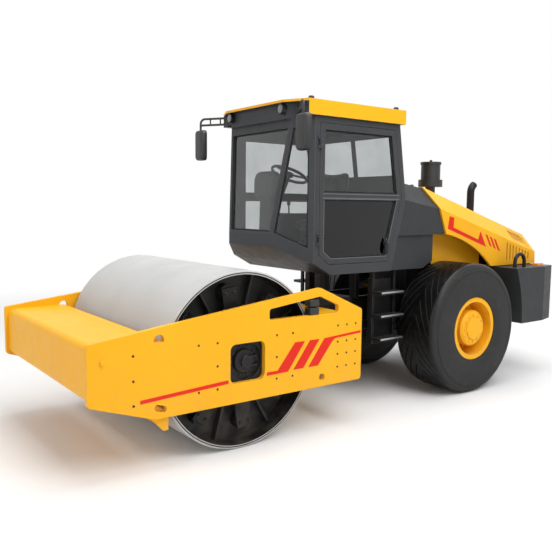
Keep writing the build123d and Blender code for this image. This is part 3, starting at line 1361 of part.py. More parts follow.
def counterweight():
    """Rear ballast block under the hood, hollowed towards the tyres, with chamfered back corners."""
    rear = rear_x(-REAR_OVERHANG)
    top = (rear_x(-WEIGHT_FRONT_TOP), 0, WEIGHT_TOP)
    middle = (rear_x(-WEIGHT_FRONT_MID), 0, (WEIGHT_TOP + WEIGHT_LOW) / 2)
    low = (rear_x(-WEIGHT_FRONT_LOW), 0, WEIGHT_LOW)
    side = Polyline(low, (rear, 0, WEIGHT_LOW), (rear, 0, WEIGHT_TOP), top) + ThreePointArc(top, middle, low)
    body = slab_y(make_face(side), -WEIGHT_HALF, WEIGHT_HALF)
    corner = rear + WEIGHT_CHAMFER_LONG
    back_half = WEIGHT_HALF - WEIGHT_CHAMFER_WIDE
    plan = [
        (rear, -back_half), (corner, -WEIGHT_HALF), (rear_x(0), -WEIGHT_HALF), (rear_x(0), WEIGHT_HALF),
        (corner, WEIGHT_HALF), (rear, back_half),
    ]
    return body & slab_z(plan, 0, WEIGHT_TOP)


def tail_lamps():
    """Tail lamps on the ballast block."""
    lamp = block(rear_x(-TAIL_REAR), rear_x(-TAIL_FRONT), WEIGHT_HALF - TAIL_IN, WEIGHT_HALF - TAIL_OUT, WEIGHT_TOP,
                 WEIGHT_TOP + TAIL_HIGH)
    return Compound(children=[lamp, mirrored(lamp)])


def tie_loops():
    """Tie-down loops on the ballast block, two legs and a half ring each."""
    x = rear_x(-LOOP_BEHIND)
    y = WEIGHT_HALF - LOOP_INSET
    spring = WEIGHT_TOP + LOOP_LEG
    ring = Pos(x, y, spring) * Rot(90, 0, 0) * Torus(LOOP_RADIUS, LOOP_BAR)
    reach = LOOP_RADIUS * 2
    loop = ring & block(x - reach, x + reach, y - reach, y + reach, spring, spring + reach)
    for leg in (x - LOOP_RADIUS, x + LOOP_RADIUS):
        loop += rod_z(LOOP_BAR, leg, y, WEIGHT_TOP, spring)
    return Compound(children=[loop, mirrored(loop)])


# Tanks, steps and cab posts

TANK_REAR_X = rear_x(TYRE_RADIUS + TANK_TYRE_GAP)


def tanks():
    """Fuel and oil tanks beside the rails under the cab."""
    tank = block(TANK_REAR_X, X_RAIL_FRONT - TANK_FRONT_GAP, TANK_IN, TANK_OUT, TANK_LOW, CAB_FLOOR - TANK_HEAD)
    tank = fillet(tank.edges().filter_by(Axis.Z), TANK_EDGE)
    return Compound(children=[tank, mirrored(tank)])


def ladder():
    """Access ladder on the left under the cab door."""
    y_back = TANK_OUT + LADDER_DEEP
    y_edge = TANK_OUT + LADDER_REACH
    sides = (TANK_REAR_X, X_RAIL_FRONT - LADDER_BAR)
    body = Part()
    for x in sides:
        body += block(x, x + LADDER_BAR, TANK_OUT, y_back, LADDER_LOW, CAB_FLOOR)
    for level in LADDER_STEPS:
        body += block(TANK_REAR_X, X_RAIL_FRONT, y_back, y_edge, level, level + LADDER_BAR)
        for x in sides:
            body += block(x, x + LADDER_BAR, TANK_OUT, y_edge, level, level + LADDER_BAR)
    return body


def cab_mounts():
    """Posts that carry the cab on the rails and on the fork."""
    rail_post = block(X_RAIL_FRONT - CAB_POST, X_RAIL_FRONT, RAIL_HALF_GAP, RAIL_HALF_GAP + CAB_POST_WIDE, RAIL_TOP,
                      CAB_FLOOR)
    x = pivot_x(-FORK_POST_BEHIND)
    fork_post = block(x, x + FORK_POST, FORK_POST_SIDE, FORK_POST_SIDE + FORK_POST, FORK_TOP, CAB_FLOOR)
    posts = [rail_post, fork_post]
    return Compound(children=posts + [mirrored(post) for post in posts])


# Mirrors, lamps, air cleaner and exhaust

def bar_between(start, end, radius):
    """Round bar between two points."""
    line = Vector(*end) - Vector(*start)
    plane = Plane(origin=start, z_dir=line)
    return extrude(plane * Circle(radius), amount=line.length, dir=line.normalized())


def mirror_left():
    """Left mirror under the outer end of its ladder-shaped arm."""
    x = rear_x(MIRROR_X)
    y = MIRROR_SIDE
    head = block(x - MIRROR_THICK / 2, x + MIRROR_THICK / 2, y - MIRROR_HALF, y + MIRROR_HALF, MIRROR_LOW, MIRROR_TOP)
    head = fillet(head.edges().filter_by(Axis.X), MIRROR_CORNER)
    low, high = ARM_LEVELS
    root_x = rear_x(ARM_ROOT_X)
    body = head + rod_z(ARM_POST, x, y, MIRROR_TOP - PAST, high + ARM_POST)
    for level in ARM_LEVELS:
        body += bar_between((root_x, ARM_ROOT_SIDE, level), (x, y, level), ARM_BAR)
    for share in ARM_RUNGS:
        rung_x = root_x + share * (x - root_x)
        rung_y = ARM_ROOT_SIDE + share * (y - ARM_ROOT_SIDE)
        body += rod_z(ARM_BAR / 2, rung_x, rung_y, low, high)
    return body - slab_z(header_plan(0), CAB_TOP, ROOF_TOP)


def work_lamps():
    """Round work lamps on the header under the roof's front edge."""
    x = rear_x(HEADER_NOSE)
    lamp = rod_x(LAMP_RADIUS, LAMP_SIDE, LAMP_LEVEL, x, x + LAMP_DEPTH)
    return Compound(children=[lamp, mirrored(lamp)])


def hood_top_at(ahead):
    """Height of the hood's flat top at a place forward of the axle."""
    return crease_at(ahead) + HOOD_SHOULDER


def pre_cleaner():
    """Air pre-cleaner on the hood."""
    x = rear_x(-CLEANER_BEHIND)
    base = hood_top_at(-CLEANER_BEHIND)
    body = Part()
    for radius, low, high in CLEANER_STAGES:
        body += rod_z(radius, x, CLEANER_SIDE, base + low, base + high)
    return body - hood_prism(0, 0)


def exhaust():
    """Exhaust stack with its outlet bent to the rear and a bracket at its foot, on the hood."""
    x = rear_x(-EXHAUST_BEHIND)
    y = EXHAUST_SIDE
    base = hood_top_at(-EXHAUST_BEHIND)
    ring = Circle(EXHAUST_RADIUS) - Circle(EXHAUST_RADIUS - EXHAUST_WALL)
    mouth = Pos(x, y, EXHAUST_LEVEL) * ring
    stack = extrude(mouth, amount=EXHAUST_LEVEL - base + EXHAUST_PLATE, dir=(0, 0, -1))
    bend_axis = Axis((x - EXHAUST_BEND, y, EXHAUST_LEVEL), (0, -1, 0))
    bend = revolve(mouth, axis=bend_axis, revolution_arc=EXHAUST_TURN)
    half = EXHAUST_PLATE / 2
    foot = block(x - EXHAUST_RADIUS - EXHAUST_PLATE, x, y - half, y + half, base - EXHAUST_PLATE,
                 base + EXHAUST_PLATE_THICK)
    foot -= rod_z(EXHAUST_RADIUS - EXHAUST_WALL, x, y, 0, EXHAUST_LEVEL)
    return (stack + bend + foot) - hood_prism(0, 0)


def export(name, shape):
    """Write one named piece."""
    export_step(shape, os.path.join("parts", name + ".step"))


def build():
    """Write every piece of the machine."""
    os.makedirs("parts", exist_ok=True)
    plate = side_plate()
    export("side_plate_left", plate)
    export("side_plate_right", mirrored(plate))
    export("front_beam", front_beam())
    export("rear_crossbeam", rear_crossbeam())
    export("drum", drum_shape())
    export("drum_carriers", carriers())
    export("drum_buffers", buffers())
    export("scraper", scraper())
    export("yoke", yoke())
    export("steer_barrel_left", steer_barrel())
    export("steer_barrel_right", mirrored(steer_barrel()))
    export("steer_rod_left", steer_rod())
    export("steer_rod_right", mirrored(steer_rod()))
    export("rear_frame", rear_frame())
    export("rear_axle", rear_axle())
    export("rim_left", rim())
    export("rim_right", mirrored(rim()))
    export("tyre_left", tyre())
    export("tyre_right", mirrored(tyre()))
    shell = cab_shell()
    left, right = cab_sides(shell)
    export("cab_wall_left", left)
    export("cab_wall_right", right)
    export("cab_front", cab_front(shell))
    export("cab_rear", cab_rear(shell))
    export("cab_floor", cab_floor(shell))
    export("cab_glass", cab_glass())
    export("cab_roof", roof())
    export("door", door())
    export("door_glass", Compound(children=side_panes()))
    export("seat_base", seat_base())
    export("seat", seat())
    export("console", console())
    export("steering_wheel", steering_wheel())
    export("hood", hood())
    export("cowl", cowl())
    export("bay_sides", bay_sides())
    export("engine_block", engine_block())
    export("counterweight", counterweight())
    export("tail_lamps", tail_lamps())
    export("tie_loops", tie_loops())
    export("tanks", tanks())
    export("ladders", Compound(children=[ladder(), mirrored(ladder())]))
    export("cab_mounts", cab_mounts())
    export("mirrors", Compound(children=[mirror_left(), mirrored(mirror_left())]))
    export("work_lamps", work_lamps())
    export("pre_cleaner", pre_cleaner())
    export("exhaust", exhaust())


build()
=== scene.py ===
"""Looks of an articulated road roller: finishes, pressed detail, tyres, seat, floor, light and camera."""
import json
import logging
import math
from dataclasses import dataclass
from enum import Enum
from typing import Optional, Sequence

import bmesh
import bpy
from mathutils import Matrix, Vector

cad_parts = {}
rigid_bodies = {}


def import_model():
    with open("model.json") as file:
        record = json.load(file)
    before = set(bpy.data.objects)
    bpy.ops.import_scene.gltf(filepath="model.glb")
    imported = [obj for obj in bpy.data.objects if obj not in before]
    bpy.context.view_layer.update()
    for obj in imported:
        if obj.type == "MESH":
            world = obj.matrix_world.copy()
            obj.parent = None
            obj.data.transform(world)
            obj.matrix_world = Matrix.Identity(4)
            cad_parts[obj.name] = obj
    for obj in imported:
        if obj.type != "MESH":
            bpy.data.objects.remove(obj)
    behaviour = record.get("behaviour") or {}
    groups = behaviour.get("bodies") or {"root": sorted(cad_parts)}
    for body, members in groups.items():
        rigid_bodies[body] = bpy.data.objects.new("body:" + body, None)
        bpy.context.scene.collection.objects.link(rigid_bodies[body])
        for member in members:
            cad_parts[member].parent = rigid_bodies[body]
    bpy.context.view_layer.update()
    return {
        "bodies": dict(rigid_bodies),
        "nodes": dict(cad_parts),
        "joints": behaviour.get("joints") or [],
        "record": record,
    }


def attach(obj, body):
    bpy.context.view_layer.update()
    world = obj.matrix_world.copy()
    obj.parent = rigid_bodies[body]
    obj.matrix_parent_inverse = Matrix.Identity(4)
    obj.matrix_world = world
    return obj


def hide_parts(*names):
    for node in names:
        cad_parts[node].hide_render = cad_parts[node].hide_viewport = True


LOG = logging.getLogger("road_roller")
Point = tuple[float, float, float]
Flat = tuple[float, float]
Colour = tuple[float, float, float]
Spot = tuple[Point, Point]

DRUM_X = 1.750
DRUM_Z = 0.800
AXLE_X = -1.470
AXLE_Z = 0.760
FLOOR_DROP = 0.0015
DECAL_PROUD = 0.0009
DECAL_SUNK = 0.0006
PANE_WELD = 0.00002
PANE_FLAT = math.radians(1.0)
PANE_AREA = 0.08
SIDES = ((1, "left"), (-1, "right"))


class Body(Enum):
    """The rigid bodies that a piece can ride on."""

    REAR = "rear"
    HOOD = "hood"
    DOOR = "door"
    WHEEL_LEFT = "wheel_left"
    WHEEL_RIGHT = "wheel_right"
    FRONT = "front_frame"
    DRUM = "drum"


class Slot(Enum):
    """The record's material slots."""

    YELLOW = "yellow_paint"
    CHARCOAL = "charcoal_paint"
    BLACK = "black_paint"
    TYRE = "tyre_rubber"
    SEAT = "seat_cloth"
    PLASTIC = "dark_plastic"
    LAMP = "lamp_lens"


def grey(value: float) -> Colour:
    """Neutral colour of one value."""
    return (value, value, value)


def rgba(colour: Colour) -> tuple[float, float, float, float]:
    """Colour with full alpha."""
    return (colour[0], colour[1], colour[2], 1.0)


class Net:
    """Short-hand for building one material's node net."""

    BEVEL_SAMPLES = 4
    EDGE_TURN = (0.98, 0.80)

    def __init__(self, name: str) -> None:
        """Start an empty net with a shader and an output.

        Args:
            name: Name of the material.
        """
        self.material = bpy.data.materials.new(name)
        self.material.use_nodes = True
        self.tree = self.material.node_tree
        self.tree.nodes.clear()
        self.shader = self.tree.nodes.new("ShaderNodeBsdfPrincipled")
        self.output = self.tree.nodes.new("ShaderNodeOutputMaterial")
        self.link(self.shader.outputs["BSDF"], self.output.inputs["Surface"])

    def link(self, source: bpy.types.NodeSocket, target: bpy.types.NodeSocket) -> None:
        """Join an output to an input."""
        self.tree.links.new(source, target)

    def add(self, kind: str, settings: Optional[dict] = None, **inputs: object) -> bpy.types.Node:
        """Add a node and fill its inputs.

        Args:
            kind: Node type without its ShaderNode prefix.
            settings: Attributes of the node itself.
            inputs: Values or sockets by input name, with _ for a space.

        Returns:
            The new node.
        """
        node = self.tree.nodes.new("ShaderNode" + kind)
        for key, value in (settings or {}).items():
            setattr(node, key, value)
        self.fill(node, **inputs)
        return node

    def fill(self, node: bpy.types.Node, **inputs: object) -> None:
        """Fill a node's inputs by name, with _ for a space."""
        for key, value in inputs.items():
            self.feed(node.inputs[key.replace("_", " ")], value)

    def feed(self, socket: bpy.types.NodeSocket, value: object) -> None:
        """Link a socket or set its plain value.

        Args:
            socket: The input to feed.
            value: An output to link, or a plain value.
        """
        if isinstance(value, bpy.types.NodeSocket):
            self.link(value, socket)
        else:
            socket.default_value = value

    def place(self) -> bpy.types.NodeSocket:
        """Object coordinates."""
        return self.add("TexCoord").outputs["Object"]

    def axes(self) -> dict[str, bpy.types.NodeSocket]:
        """Object coordinates by axis."""
        outputs = self.add("SeparateXYZ", None, Vector=self.place()).outputs
        return {axis: outputs[axis] for axis in "XYZ"}

    def noise(self, scale: float, detail: float, stretch: Optional[Point] = None) -> bpy.types.NodeSocket:
        """Noise on object coordinates.

        Args:
            scale: Pattern scale per metre.
            detail: Octaves of the noise.
            stretch: Optional scale of each axis before the noise.

        Returns:
            The noise value.
        """
        vector = self.place()
        if stretch:
            vector = self.add("Mapping", Vector=vector, Scale=stretch).outputs["Vector"]
        return self.add("TexNoise", Vector=vector, Scale=scale, Detail=detail).outputs["Fac"]

    def patches(self, scale: float, detail: float, low: float, high: float) -> bpy.types.NodeSocket:
        """Noise stretched to soft patches from 0 to 1.

        Args:
            scale: Pattern scale per metre.
            detail: Octaves of the noise.
            low: Noise that becomes 0.
            high: Noise that becomes 1.

        Returns:
            The value of the patches.
        """
        return self.remap(self.noise(scale, detail), low, high)

    def remap(self, value: bpy.types.NodeSocket, low: float, high: float, to_low: float = 0.0,
              to_high: float = 1.0) -> bpy.types.NodeSocket:
        """Clamped change of range.

        Args:
            value: The value to change.
            low: Value that becomes to_low.
            high: Value that becomes to_high.
            to_low: Result at low.
            to_high: Result at high.

        Returns:
            The changed value.
        """
        return self.add("MapRange", None, Value=value, From_Min=low, From_Max=high, To_Min=to_low,
                        To_Max=to_high).outputs["Result"]

    def math(self, operation: str, first: object, second: object) -> bpy.types.NodeSocket:
        """Arithmetic on two values.

        Args:
            operation: Name of the operation.
            first: First value or socket.
            second: Second value or socket.

        Returns:
            The result.
        """
        node = self.add("Math", {"operation": operation})
        self.feed(node.inputs[0], first)
        self.feed(node.inputs[1], second)
        return node.outputs["Value"]

    def mix(self, factor: object, first: object, second: object) -> bpy.types.NodeSocket:
        """Colour between two colours.

        Args:
            factor: Share of the second colour.
            first: First colour or socket.
            second: Second colour or socket.

        Returns:
            The colour.
        """
        node = self.add("Mix", {"data_type": "RGBA"})
        self.feed(node.inputs[0], factor)
        self.feed(node.inputs[6], first)
        self.feed(node.inputs[7], second)
        return node.outputs[2]

    def axle_distance(self, x: float, z: float) -> bpy.types.NodeSocket:
        """Distance from an axis along Y.

        Args:
            x: Place of the axis along the machine.
            z: Height of the axis.

        Returns:
            The distance in metres.
        """
        place = self.axes()
        ahead = self.math("SUBTRACT", place["X"], x)
        above = self.math("SUBTRACT", place["Z"], z)
        squares = self.math("ADD", self.math("MULTIPLY", ahead, ahead), self.math("MULTIPLY", above, above))
        return self.math("SQRT", squares, 0.0)

    def edges(self, radius: float) -> tuple[bpy.types.NodeSocket, bpy.types.NodeSocket]:
        """Rounded normal and a mask that is 1 along edges.

        Args:
            radius: Radius of the rounding in metres.

        Returns:
            The rounded normal and the edge mask.
        """
        rounded = self.add("Bevel", {"samples": self.BEVEL_SAMPLES}, Radius=radius).outputs["Normal"]
        flat = self.add("NewGeometry").outputs["Normal"]
        dot = self.add("VectorMath", {"operation": "DOT_PRODUCT"})
        self.link(rounded, dot.inputs[0])
        self.link(flat, dot.inputs[1])
        return rounded, self.remap(dot.outputs["Value"], *self.EDGE_TURN)

    def bump(self, height: bpy.types.NodeSocket, distance: float, strength: float = 1.0,
             normal: Optional[bpy.types.NodeSocket] = None) -> None:
        """Bump the shader's normal.

        Args:
            height: Height of the surface, 0 to 1.
            distance: Height in metres of a full step.
            strength: Share of the bump that shows.
            normal: Normal that the bump starts from.
        """
        node = self.add("Bump", None, Distance=distance, Strength=strength, Height=height)
        if normal is not None:
            self.link(normal, node.inputs["Normal"])
        self.link(node.outputs["Normal"], self.shader.inputs["Normal"])


@dataclass(frozen=True)
class Enamel:
    """Sprayed paint on steel, with faint orange peel, edges paled by wear and by a painted highlight, and dust
    low down.
    """

    CLOUD = (1.7, 4.0, 0.35, 0.68)
    EDGE_PALE = 0.35
    DUST_PATCHES = (6.0, 6.0, 0.40, 0.72)
    DUST_COLOUR = (0.30, 0.25, 0.19)
    DUST_FULL = 0.15
    DUST_DULL = 0.5
    SHEEN_NOISE = (9.0, 4.0)
    SHEEN_RANGE = (0.3, 0.7)
    SHEEN_LESS = 0.05
    SHEEN_MORE = 0.07
    COAT_ROUGHNESS = 0.12
    PEEL_NOISE = (140.0, 2.0)

    name: str
    colour: Colour
    shade: Colour
    roughness: float = 0.38
    coat: float = 0.25
    dust: float = 0.22
    dust_top: float = 1.1
    edge_light: float = 0.25
    rounding: float = 0.006
    peel: float = 0.0003
    shine: float = 0.15

    def tone(self, net: Net, coat: bpy.types.NodeSocket) -> bpy.types.NodeSocket:
        """Colour of the paint before the worn and highlit edges and the dust."""
        return coat

    def build(self) -> bpy.types.Material:
        """Make the material.

        Returns:
            The material.
        """
        net = Net(self.name)
        normal, edge = net.edges(self.rounding)
        tone = self.tone(net, net.mix(net.patches(*self.CLOUD), rgba(self.colour), rgba(self.shade)))
        # Edges are paled towards white: partly wear, partly a painted highlight.
        pale = tuple(channel + (1.0 - channel) * self.EDGE_PALE for channel in self.colour)
        paled_edges = net.mix(net.math("MULTIPLY", edge, self.edge_light), tone, rgba(pale))
        low = net.remap(net.axes()["Z"], self.dust_top, self.DUST_FULL)
        dust = net.math("MULTIPLY", net.math("MULTIPLY", low, net.patches(*self.DUST_PATCHES)), self.dust)
        dull = net.math("MULTIPLY", dust, self.DUST_DULL)
        rough = net.remap(net.noise(*self.SHEEN_NOISE), *self.SHEEN_RANGE, self.roughness - self.SHEEN_LESS,
                          self.roughness + self.SHEEN_MORE)
        net.fill(net.shader, Base_Color=net.mix(dust, paled_edges, rgba(self.DUST_COLOUR)),
                 Roughness=net.math("ADD", rough, dull), Coat_Weight=self.coat,
                 Coat_Roughness=self.COAT_ROUGHNESS, Specular_IOR_Level=self.shine)
        net.bump(net.noise(*self.PEEL_NOISE), self.peel, normal=normal)
        return net.material


@dataclass(frozen=True)
class DrumCoat(Enamel):
    """Pale drum shell with painted shade in the groove near its edge, and charcoal heads inside."""

    heads: Colour = grey(0.034)
    spider_and_groove_shade: Colour = grey(0.012)
    spider_from: float = 0.930
    shell_inside: float = 0.7655
    groove_shade_band: Flat = (0.7735, 0.7825)

    def tone(self, net: Net, coat: bpy.types.NodeSocket) -> bpy.types.NodeSocket:
        """Shell, painted shade in the groove, heads and spiders by their distance from the axis and from the
        middle.

        Args:
            net: The material's net.
            coat: Colour of the plain paint.

        Returns:
            The colour.
        """
        radius = net.axle_distance(DRUM_X, DRUM_Z)
        outside = net.math("GREATER_THAN", net.math("ABSOLUTE", net.axes()["Y"], 0.0), self.spider_from)
        inner = net.mix(outside, rgba(self.heads), rgba(self.spider_and_groove_shade))
        shell = net.mix(net.math("GREATER_THAN", radius, self.shell_inside), inner, coat)
        # Painted shade: a near-black ring on the end face where the groove is.
        past = net.math("GREATER_THAN", radius, self.groove_shade_band[0])
        before = net.math("LESS_THAN", radius, self.groove_shade_band[1])
        return net.mix(net.math("MULTIPLY", past, before), shell, rgba(self.spider_and_groove_shade))


@dataclass(frozen=True)
class RoofCoat(Enamel):
    """Roof paint with charcoal front corners and inner faces, and dark lifting lugs."""

    front: Colour = (0.050, 0.052, 0.056)
    front_from: float = 0.797
    inside: float = 0.765
    inside_from: float = -0.555
    lip: float = 3.186
    lugs_from: float = 3.2105

    def tone(self, net: Net, coat: bpy.types.NodeSocket) -> bpy.types.NodeSocket:
        """Charcoal below the lip at the front and inside, and on the lugs.

        Args:
            net: The material's net.
            coat: Colour of the plain paint.

        Returns:
            The colour.
        """
        place = net.axes()
        ahead = net.math("GREATER_THAN", place["X"], self.front_from)
        aside = net.math("LESS_THAN", net.math("ABSOLUTE", place["Y"], 0.0), self.inside)
        inner = net.math("MULTIPLY", aside, net.math("GREATER_THAN", place["X"], self.inside_from))
        below = net.math("LESS_THAN", place["Z"], self.lip)
        dark = net.math("MULTIPLY", net.math("MAXIMUM", ahead, inner), below)
        lugs = net.math("GREATER_THAN", place["Z"], self.lugs_from)
        return net.mix(net.math("MAXIMUM", dark, lugs), coat, rgba(self.front))


@dataclass(frozen=True)
class Rubber:
    """Black rubber with a fine grain, dust in its low places and a painted highlight along its edges."""

    ROUNDING = 0.008
    CLOUD = (3.0, 6.0, 0.35, 0.70)
    EDGE_LIGHT = 0.35
    EDGE_COLOUR = grey(0.085)
    DUST_NOISE = (11.0, 8.0)
    DUST_RANGE = (0.52, 0.78)
    DUST_COLOUR = (0.16, 0.14, 0.12)
    SHEEN_LESS = 0.08
    SHEEN_MORE = 0.10
    GRAIN_NOISE = (170.0, 3.0)

    name: str
    colour: Colour = grey(0.022)
    shade: Colour = grey(0.040)
    roughness: float = 0.62
    grain: float = 0.0006
    dust: float = 0.25
    shine: float = 0.25

    def tone(self, net: Net, plain: bpy.types.NodeSocket) -> bpy.types.NodeSocket:
        """Colour of the rubber before the painted edge highlight and the dust."""
        return plain

    def gloss(self, net: Net, rough: bpy.types.NodeSocket) -> bpy.types.NodeSocket:
        """Roughness of the rubber."""
        return rough

    def build(self) -> bpy.types.Material:
        """Make the material.

        Returns:
            The material.
        """
        net = Net(self.name)
        normal, edge = net.edges(self.ROUNDING)
        cloud = net.patches(*self.CLOUD)
        tone = self.tone(net, net.mix(cloud, rgba(self.colour), rgba(self.shade)))
        # Painted highlight: the rubber is lightened towards grey along its edges.
        paled_edges = net.mix(net.math("MULTIPLY", edge, self.EDGE_LIGHT), tone, rgba(self.EDGE_COLOUR))
        patch = net.remap(net.noise(*self.DUST_NOISE), *self.DUST_RANGE, 0.0, self.dust)
        rough = net.remap(cloud, 0.0, 1.0, self.roughness - self.SHEEN_LESS, self.roughness + self.SHEEN_MORE)
        net.fill(net.shader, Base_Color=net.mix(patch, paled_edges, rgba(self.DUST_COLOUR)),
                 Roughness=self.gloss(net, rough), Specular_IOR_Level=self.shine)
        net.bump(net.noise(*self.GRAIN_NOISE), self.grain, normal=normal)
        return net.material


@dataclass(frozen=True)
class TyreRubber(Rubber):
    """Tyre with grey side walls and a blacker tread."""

    tread: Colour = grey(0.003)
    tread_from: Flat = (0.728, 0.752)
    tread_gloss: float = 0.55

    def tone(self, net: Net, plain: bpy.types.NodeSocket) -> bpy.types.NodeSocket:
        """Side wall colour that darkens to the tread."""
        return net.mix(self.on_tread(net), plain, rgba(self.tread))

    def on_tread(self, net: Net) -> bpy.types.NodeSocket:
        """Mask that is 1 on the tread."""
        return net.remap(net.axle_distance(AXLE_X, AXLE_Z), *self.tread_from)

    def gloss(self, net: Net, rough: bpy.types.NodeSocket) -> bpy.types.NodeSocket:
        """Roughness that falls on the tread."""
        return net.math("MULTIPLY", rough, net.remap(self.on_tread(net), 0.0, 1.0, 1.0, self.tread_gloss))


@dataclass(frozen=True)
class Moulding:
    """Moulded plastic or a cast lens with a fine grain."""

    ROUNDING = 0.004
    CLOUD = (5.0, 4.0, 0.35, 0.70)
    SHEEN_LESS = 0.05
    SHEEN_MORE = 0.06
    GRAIN_DETAIL = 2.0

    name: str
    colour: Colour
    shade: Colour
    roughness: float = 0.5
    grain: float = 0.0003
    grain_scale: float = 420.0
    coat: float = 0.0

    def build(self) -> bpy.types.Material:
        """Make the material.

        Returns:
            The material.
        """
        net = Net(self.name)
        normal, _edge = net.edges(self.ROUNDING)
        cloud = net.patches(*self.CLOUD)
        rough = net.remap(cloud, 0.0, 1.0, self.roughness - self.SHEEN_LESS, self.roughness + self.SHEEN_MORE)
        net.fill(net.shader, Base_Color=net.mix(cloud, rgba(self.colour), rgba(self.shade)), Roughness=rough,
                 Coat_Weight=self.coat)
        net.bump(net.noise(self.grain_scale, self.GRAIN_DETAIL), self.grain, normal=normal)
        return net.material


@dataclass(frozen=True)
class Metal:
    """Bare or plated metal with fine scratches along one axis."""

    ROUNDING = 0.003
    STREAK_DETAIL = 3.0
    STREAK_RANGE = (0.3, 0.7)
    STREAK_HEIGHT = 0.0001
    DULL = 0.8
    EDGE_LIGHT = 0.3
    EDGE_COLOUR = grey(0.85)
    SHEEN_MORE = 0.12

    name: str
    colour: Colour
    roughness: float
    stretch: Point = (6.0, 160.0, 160.0)

    def build(self) -> bpy.types.Material:
        """Make the material.

        Returns:
            The material.
        """
        net = Net(self.name)
        normal, edge = net.edges(self.ROUNDING)
        streak = net.noise(1.0, self.STREAK_DETAIL, self.stretch)
        dull = tuple(channel * self.DULL for channel in self.colour)
        tone = net.mix(net.remap(streak, *self.STREAK_RANGE), rgba(self.colour), rgba(dull))
        rough = net.remap(streak, *self.STREAK_RANGE, self.roughness, self.roughness + self.SHEEN_MORE)
        paled_edges = net.mix(net.math("MULTIPLY", edge, self.EDGE_LIGHT), tone, rgba(self.EDGE_COLOUR))
        net.fill(net.shader, Base_Color=paled_edges, Metallic=1.0, Roughness=rough)
        net.bump(streak, self.STREAK_HEIGHT, normal=normal)
        return net.material


@dataclass(frozen=True)
class Glazing:
    """Safety glass, clear but for the dark lower pane of the door's side."""

    FILM = (2.5, 5.0, 0.45, 0.75)
    DUSTY = 0.9
    HAZE_MORE = 0.03
    IOR = 1.45

    name: str
    colour: Colour
    low_colour: Colour = (0.070, 0.075, 0.080)
    low_below: float = 2.270
    low_outside: float = 0.660
    haze: float = 0.02

    def build(self) -> bpy.types.Material:
        """Make the material.

        Returns:
            The material.
        """
        net = Net(self.name)
        film = net.patches(*self.FILM)
        dusty = tuple(channel * self.DUSTY for channel in self.colour)
        place = net.axes()
        low = net.math("LESS_THAN", place["Z"], self.low_below)
        aside = net.math("GREATER_THAN", place["Y"], self.low_outside)
        clear = net.mix(film, rgba(self.colour), rgba(dusty))
        tone = net.mix(net.math("MULTIPLY", low, aside), clear, rgba(self.low_colour))
        net.fill(net.shader, Base_Color=tone,
                 Roughness=net.remap(film, 0.0, 1.0, self.haze, self.haze + self.HAZE_MORE),
                 Transmission_Weight=1.0, IOR=self.IOR)
        return net.material


@dataclass(frozen=True)
class Cloth:
    """Woven seat cloth."""

    DISTORTION = 0.4
    ROUGHNESS = 0.9
    SHEEN = 0.25
    THREAD_HEIGHT = 0.0008
    THREAD_BUMP = 0.8
    THREADS_PER_SCALE = 6.0

    name: str
    colour: Colour = grey(0.028)
    thread: Colour = grey(0.060)
    threads_per_metre: float = 520.0

    def build(self) -> bpy.types.Material:
        """Make the material.

        Returns:
            The material.
        """
        net = Net(self.name)
        place = net.place()
        scale = self.threads_per_metre / self.THREADS_PER_SCALE
        weave, weft = (net.add("TexWave", {"bands_direction": way}, Vector=place, Scale=scale,
                               Distortion=self.DISTORTION).outputs["Fac"] for way in "XZ")
        height = net.math("MULTIPLY", weave, weft)
        net.fill(net.shader, Base_Color=net.mix(height, rgba(self.colour), rgba(self.thread)),
                 Roughness=self.ROUGHNESS, Sheen_Weight=self.SHEEN)
        net.bump(height, self.THREAD_HEIGHT, self.THREAD_BUMP)
        return net.material


